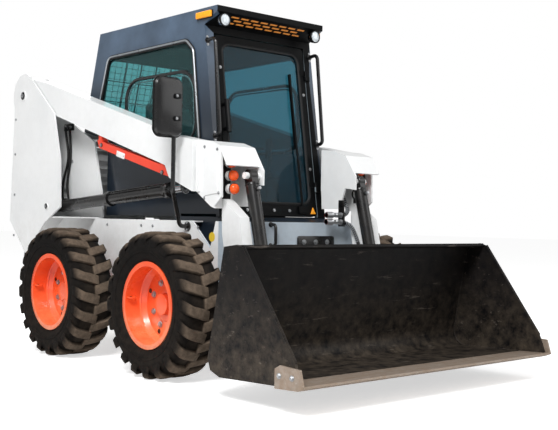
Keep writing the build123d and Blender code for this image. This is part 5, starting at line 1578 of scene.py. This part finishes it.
@dataclass
class Cylinder:
    """Gland, ports and end caps on one lift or tilt cylinder."""

    kind: str
    side: Side
    x: float
    base: tuple[float, float]
    eye: tuple[float, float]
    barrel_radius: float
    barrel_end: float
    rod_radius: float
    pin_radius: float
    eye_width: float

    def at(self, along: float, up: float = 0.0) -> Vector:
        """Give a point of the cylinder.

        Args:
            along: Millimetres from the base pin towards the rod's eye.
            up: Millimetres across, towards the machine's top or front.

        Returns:
            The point in the machine's frame.
        """
        way = Vector((0, self.eye[0] - self.base[0], self.eye[1] - self.base[1])).normalized()
        across = Vector((0, way.z, -way.y))
        if across.z < 0 if self.kind == "lift" else across.y > 0:
            across.negate()
        return self.side.at(self.x, *self.base) + way * (along / 1000) + across * (up / 1000)

    def eye_rings(self, piece: Piece, along: float) -> None:
        """Put a thin thrust ring on each cheek of an eye.

        Args:
            piece: Piece that takes them.
            along: Millimetres from the base pin to the eye.
        """
        r = self.pin_radius
        for s in (-1, 1):
            cheek = self.at(along) + Vector((s * self.eye_width / 2000, 0, 0))
            piece.lathe([(0, r + 2), (1.5, r + 3), (1.5, r + 12), (0, r + 14)], cheek, Vector((s, 0, 0)), 32, 0)

    def fit(self) -> None:
        """Fit the barrel's gland, wiper and port, and the collar on the rod's end."""
        word = self.side.word
        way = self.at(1000) - self.at(0)
        finishes = (BLACK_ENAMEL, EPDM_RUBBER, ZINC_PLATE)
        barrel = Piece(f"{self.kind}_gland_{word}", f"{self.kind}_barrel_{word}", finishes)
        r, rr, end = self.barrel_radius, self.rod_radius, self.barrel_end
        gland = [(-52, r + 5.5), (-50, r + 7), (-40, r + 7), (-38, r + 6.2), (-14, r + 6.2), (-12, r + 7)]
        barrel.lathe([*gland, (-3, r + 7), (0.6, r + 4), (0.6, rr + 6)], self.at(end), way, 48, 0)
        barrel.lathe([(0.2, rr + 7), (3, rr + 5), (4, rr + 1), (4, rr + 0.3)], self.at(end), way, 40, 1)
        for n in range(6):
            turn = Matrix.Rotation(math.tau * n / 6 + 0.3, 3, way)
            foot = self.at(end - 26) + turn @ (self.at(end - 26, r + 5.6) - self.at(end - 26))
            barrel.lathe([(0, 0), (0, 3.6), (1.4, 3.6), (1.4, 0)], foot, foot - self.at(end - 26), 12, 1)
        # Weld ring and port boss at the base.
        foot = self.at(self.pin_radius + 27)
        barrel.lathe([(-3, r - 6), (1, r + 2.2), (5, r + 2.6), (9, r)], foot, way, 44, 0)
        port = self.at(self.pin_radius + 62, r - 2)
        up = self.at(0, 1000) - self.at(0)
        barrel.lathe([(0, 0), (0, 13), (8, 13), (9, 10), (12, 10)], port, up, 24, 0)
        barrel.lathe([(12, 0), (12, 10.5), (22, 10.5), (23, 9), (27, 9), (27, 0)], port, up, 6, 2)
        self.eye_rings(barrel, 0)
        barrel.finish(slot="dark_steel")
        rod = Piece(f"{self.kind}_rod_end_{word}", f"{self.kind}_rod_{word}", (BLACK_ENAMEL,))
        length = Vector((0, self.eye[0] - self.base[0], self.eye[1] - self.base[1])).length
        neck = self.at(length - self.pin_radius - 34)
        rod.lathe([(0, rr + 0.2), (3, rr + 5), (16, rr + 6), (26, rr + 6), (30, rr + 3)], neck, way, 36, 0)
        self.eye_rings(rod, length)
        rod.finish(slot="dark_steel")


# ------------------------------------------------------------------ chassis and rear


@dataclass
class Body:
    """Covers, pins and screws of the chassis, the towers and the rear."""

    pivot: tuple[float, float] = (1492.0, 1655.0)
    lift_base: tuple[float, float] = (1135.0, 902.0)
    # Rear face of the tailgate, the two axles and the ring of bolts round each.
    gate_face: float = 1640.0
    axles: tuple[float, float] = (-420.0, 629.0)
    axle_z: float = 384.8
    flange_ring: float = 82.0

    def guard(self) -> None:
        """Bolt the cover plate and the tube loop on the front wall."""
        piece = Piece("front_cover", "chassis", (BLACK_ENAMEL, ZINC_PLATE))
        ahead = Vector((0, -1, 0))
        corners = ((47, 600), (337, 600), (337, 749), (47, 749))
        ring = rounded([vec(x, -560.4, z) for x, z in corners], 0.014, closed=True)
        piece.slab(ring, vec(0, -8, 0), 0.0018, 0)
        for x in (95, 187, 279):
            piece.bolt(vec(x, -568.3, 714), ahead, 22, 1)
        loop = [vec(-153, -560.3, 812), vec(-153, -604.3, 812), vec(-153, -604.3, 694), vec(-153, -560.3, 694)]
        piece.tube(rounded(loop, 0.024), 9)
        for z in (812, 694):
            piece.cap(vec(-153, -560.2, z), ahead, (15, 4), (1, 3), 24)
        piece.finish("front_guard", slot="dark_steel")

    def pins(self) -> None:
        """Cap the pivot pins, screw the covers on and ring the axle flanges with bolts."""
        piece = Piece("tower_pins", "chassis", (BLACK_ENAMEL, ZINC_PLATE, YELLOW_VINYL))
        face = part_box("tower_left")[1].x * 1000
        for side in SIDES:
            out = side.out
            for (y, z), r in ((self.pivot, 27), (self.lift_base, 18)):
                foot = side.at(face - 1, y, z)
                piece.cap(foot, out, (r, 4), (1.5, 3), 36)
                piece.bolt(foot + out * 0.004, out, r * 0.75, 1)
            for y, z in ((1600, 700), (1600, 980), (1600, 1260), (1600, 1500)):
                piece.bolt(side.at(face - 6, y, z), out, 13, 1)
            # Mudguard screws on the chassis side and a round yellow sticker.
            for y in (-380, 60, 180, 560):
                piece.bolt(side.at(520, y, 792), out, 12, 1)
            piece.lathe([(0, 0), (0, 26), (0.5, 25.8), (0.5, 0)], side.at(520, -505, 742), out, 32, 2)
            ring = self.flange_ring
            for y in self.axles:
                for n in range(6):
                    turn = math.tau * n / 6
                    piece.bolt(side.at(542, y + ring * math.cos(turn), self.axle_z + ring * math.sin(turn)), out, 15, 1)
        piece.finish(slot="dark_steel")

    def rear(self) -> None:
        """Give the tailgate its latch and its screws."""
        piece = Piece("tailgate_fittings", "rear_gate", (BLACK_ENAMEL, ZINC_PLATE))
        back = Vector((0, 1, 0))
        face = self.gate_face
        piece.block(vec(395, face + 3, 905), vec(52, 7, 118), 0.003, 0)
        piece.block(vec(395, face + 8, 905), vec(22, 8, 84), 0.003, 1)
        piece.cap(vec(395, face + 6, 868), back, (11, 6), (1, 2), 24, 1)
        for x in (-400, 0, 400):
            for z in (470, 1310):
                piece.bolt(vec(x, face, z), back, 13, 1)
        piece.finish(slot="dark_steel")

    def hood(self) -> None:
        """Give the hood its pull strip and its screws."""
        piece = Piece("hood_fittings", "hood_lid", (BLACK_ENAMEL, ZINC_PLATE))
        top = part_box("hood")[1].z * 1000 - 1
        for x in (-380, 380):
            for y in (1130, 1600):
                piece.bolt(vec(x, y, 1405), Vector((0, 0, 1)), 12, 1)
        piece.tube([vec(x, 1600, top - dip) for x, dip in ((-80, 3), (-80, 0), (80, 0), (80, 3))], 2.5)
        piece.finish(slot="dark_steel")


@dataclass
class Bucket:
    """Welds and bolts of the bucket."""

    half: float = 908.5
    plate: float = 12.0

    def seams(self) -> None:
        """Run weld beads inside the bucket and bolt the corner bits."""
        piece = Piece("bucket_welds", "bucket", (BUCKET_PAINT, ZINC_PLATE))
        inner = self.half - self.plate
        for side in SIDES:
            route = [side.at(inner, y, z) for y, z in ((-1470, 134), (-1010, 120), (-1110, 700), (-1220, 706))]
            piece.tube(rounded(route, 0.085), 4.5, rings=1)
            rim = [side.at(self.half - 6, y, z) for y, z in ((-1245, 712), (-1604, 236))]
            piece.tube(rim, 6.8, rings=2)
            for y, z in ((-1518, 172), (-1600, 172)):
                piece.bolt(side.at(self.half + 12, y, z), side.out, 18, 1)
        piece.tube([vec(-inner, -1224, 713), vec(inner, -1224, 713)], 7, rings=2)
        piece.finish(slot="black_paint")


# ------------------------------------------------------------------ seat and controls


@dataclass
class Seat:
    """Padded cushion and back on a sprung base."""

    # Metres: size of a voxel, farthest that the cloth may move a point, and round on the start's edges.
    voxel: float = 0.006
    cap: float = 0.016
    round_off: float = 0.028
    # Air pressure in the pad and frames for which it swells.
    pressure: float = 4.0
    frames: int = 20

    def pad(self, name: str, node_name: str, build: Callable[[bmesh.types.BMesh], None]) -> bpy.types.Object:
        """Swell one pad by cloth simulation.

        Args:
            name: Name of the piece.
            node_name: CAD node that it replaces.
            build: Shapes the start in the node's box.

        Returns:
            The finished pad.
        """
        made = bmesh.new()
        build(made)
        bmesh.ops.recalc_face_normals(made, faces=made.faces)
        bmesh.ops.bevel(
            made, geom=made.edges[:], offset=self.round_off, segments=4, profile=0.5, affect="EDGES", material=-1,
            clamp_overlap=True,
        )
        mesh = bpy.data.meshes.new(name)
        made.to_mesh(mesh)
        made.free()
        mesh.materials.append(SEAT_VINYL.material())
        pad = bpy.data.objects.new(name, mesh)
        bpy.context.scene.collection.objects.link(pad)
        remesh = pad.modifiers.new("remesh", "REMESH")
        remesh.mode = "VOXEL"
        remesh.voxel_size = self.voxel
        self.bake(pad)
        rest = [v.co.copy() for v in pad.data.vertices]
        cloth = pad.modifiers.new("cloth", "CLOTH")
        cloth.settings.use_pressure = True
        cloth.settings.uniform_pressure_force = self.pressure
        cloth.settings.effector_weights.gravity = 0.0
        cloth.point_cache.frame_start = 1
        cloth.point_cache.frame_end = self.frames
        for frame in range(1, self.frames + 1):
            bpy.context.scene.frame_set(frame)
        self.bake(pad)
        bpy.context.scene.frame_set(1)
        for vert, old in zip(pad.data.vertices, rest):
            moved = vert.co - old
            if moved.length > self.cap:
                vert.co = old + moved.normalized() * self.cap
        smooth = bmesh.new()
        smooth.from_mesh(pad.data)
        bmesh.ops.smooth_vert(smooth, verts=smooth.verts, factor=0.5, use_axis_x=True, use_axis_y=True, use_axis_z=True)
        for face in smooth.faces:
            face.smooth = True
        smooth.to_mesh(pad.data)
        smooth.free()
        pad.modifiers.new("smooth", "SUBSURF").levels = 1
        pad.modifiers["smooth"].render_levels = 1
        self.bake(pad)
        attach(pad, "chassis")
        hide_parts(node_name)
        LOG.info("%s: %d faces on chassis", name, len(pad.data.polygons))
        return pad

    def bake(self, thing: bpy.types.Object) -> None:
        """Apply an object's modifiers to its mesh.

        Args:
            thing: The object.
        """
        graph = bpy.context.evaluated_depsgraph_get()
        graph.update()
        mesh = bpy.data.meshes.new_from_object(thing.evaluated_get(graph))
        old = thing.data
        thing.modifiers.clear()
        thing.data = mesh
        bpy.data.meshes.remove(old)

    def cushion(self) -> None:
        """Make the seat cushion with raised side bolsters."""
        low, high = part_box("seat_cushion")

        def build(made: bmesh.types.BMesh) -> None:
            """Shape the start of the cushion.

            Args:
                made: Empty shape to fill.
            """
            size, middle = (high - low) * 0.94, (high + low) / 2
            bmesh.ops.create_cube(made, size=1.0)
            bmesh.ops.scale(made, verts=made.verts, vec=(size.x, size.y, size.z * 0.84))
            top = [f for f in made.faces if f.normal.z > 0.9]
            bmesh.ops.inset_region(made, faces=top, thickness=0.085, use_even_offset=True)
            bmesh.ops.translate(made, verts=list({v for f in top for v in f.verts}), vec=(0, -0.02, -0.018))
            bmesh.ops.translate(made, verts=made.verts, vec=middle - Vector((0, 0, 0.004)))

        self.pad("cushion_pad", "seat_cushion", build)

    def back(self) -> None:
        """Make the seat back with its wings."""
        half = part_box("seat_back")[1].x - 0.016

        def build(made: bmesh.types.BMesh) -> None:
            """Shape the start of the back.

            Args:
                made: Empty shape to fill.
            """
            outline = [(572, 1092), (690, 1092), (716, 1598), (662, 1598), (622, 1470)]
            base = made.faces.new([made.verts.new(vec(-half * 1000, y, z)) for y, z in outline])
            grown = bmesh.ops.extrude_face_region(made, geom=[base])["geom"]
            ends = [g for g in grown if isinstance(g, bmesh.types.BMVert)]
            bmesh.ops.translate(made, verts=ends, vec=(2 * half, 0, 0))
            for vert in made.verts:
                if vert.co.z > 1.55:
                    vert.co.x *= 0.84

        self.pad("back_pad", "seat_back", build)

    def frame(self) -> None:
        """Build the sprung base with its bellows, and the two belt stalks."""
        piece = Piece("seat_suspension", "chassis", (MOULDED_PLASTIC, EPDM_RUBBER, ZINC_PLATE))
        low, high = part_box("seat_base")
        middle = (low + high) / 2
        wide, deep = high.x - low.x, high.y - low.y
        piece.block(Vector((middle.x, middle.y, low.z + 0.012)), Vector((wide, deep, 0.024)), 0.005)
        piece.block(Vector((middle.x, middle.y, high.z - 0.010)), Vector((wide, deep, 0.020)), 0.005)
        for n in range(4):
            size = Vector((wide - 0.03, deep - 0.03, 0.014))
            piece.block(Vector((middle.x, middle.y, low.z + 0.032 + 0.0125 * n)), size, 0.006, 1)
        for side in SIDES:
            piece.rod(side.at(205, 600, 985), side.at(205, 640, 985), 14, 2, 2)
        piece.finish("seat_base", slot="seat_vinyl")


@dataclass
class Controls:
    """Consoles with their joysticks."""

    x: float = 320.0
    y: float = 20.0
    top: float = 1096.0

    def consoles(self) -> None:
        """Build both consoles: box, armrest, bellows boot, shaft and grip."""
        piece = Piece("control_consoles", "chassis", (MOULDED_PLASTIC, EPDM_RUBBER, BLACK_ENAMEL, RED_CAP, SEAT_VINYL))
        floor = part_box("control_levers")[0].z * 1000
        up = Vector((0, 0, 1))
        for side in SIDES:
            outline = [(-30, floor), (270, floor), (270, self.top), (-10, self.top), (-30, self.top - 60)]
            piece.slab([side.at(self.x - 55, y, z) for y, z in outline], side.at(110, 0, 0), 0.008)
            piece.block(side.at(self.x, 175, self.top + 6), vec(84, 150, 26), 0.011, 4)
            start = side.at(self.x, self.y, self.top - 1)
            folds = [(4, 37), (8, 32), (12, 34), (16, 28), (20, 30), (26, 23), (30, 25), (38, 17)]
            piece.lathe([(0, 0), (0, 36), *folds, (46, 15), (46, 0)], start, up, 36, 1)
            piece.lathe([(40, 0), (40, 9), (134, 9), (134, 0)], start, up, 20, 2)
            grip = [(128, 0), (128, 17), (140, 21), (175, 20), (205, 22), (235, 24), (252, 21), (260, 12), (261, 0)]
            piece.lathe(grip, start, up, 36, 0)
            for lift, across in ((238, -9), (238, 9), (214, 0)):
                foot = start + Vector((across / 1000, 0.018, lift / 1000))
                piece.cap(foot, Vector((0, 1, 0)), (5, 5), steps=16, paint=3)
        piece.finish("control_levers", slot="black_plastic")


# ------------------------------------------------------------------ build


def build(frame: dict[str, Any]) -> None:
    """Build every class in order.
    """
    studio = Studio()
    studio.camera()
    studio.floor()
    studio.light()
    Solids(frame["nodes"]).dress()
    for where in ("front", "rear"):
        for side in SIDES:
            wheel = Wheel(where, side)
            wheel.tyre()
            wheel.fittings()
    windows = Windows()
    windows.side_windows()
    windows.rear_window()
    cab = CabFront()
    cab.door_seals()
    cab.grille()
    cab.work_lamps()
    cab.marker_lamps()
    cab.handles()
    Mirror().shell()
    knees = Knees()
    knees.lamp_stack()
    knees.plates()
    Brace().plate()
    hoses = Hoses()
    hoses.knee()
    hoses.tower()
    for side in SIDES:
        Cylinder(
            "lift", side, x=538, base=(1135, 902), eye=(-320, 1010), barrel_radius=37, barrel_end=1285,
            rod_radius=22, pin_radius=20, eye_width=50,
        ).fit()
        Cylinder(
            "tilt", side, x=410, base=(-690, 1070), eye=(-860, 400), barrel_radius=36, barrel_end=470,
            rod_radius=20, pin_radius=18, eye_width=44,
        ).fit()
    body = Body()
    body.guard()
    body.pins()
    body.rear()
    body.hood()
    Bucket().seams()
    seat = Seat()
    seat.cushion()
    seat.back()
    seat.frame()
    Controls().consoles()


def main() -> None:
    """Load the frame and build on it."""
    logging.basicConfig(level=logging.INFO, format="%(message)s")
    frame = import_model()
    build(frame)


if __name__ == "__main__":
    main()
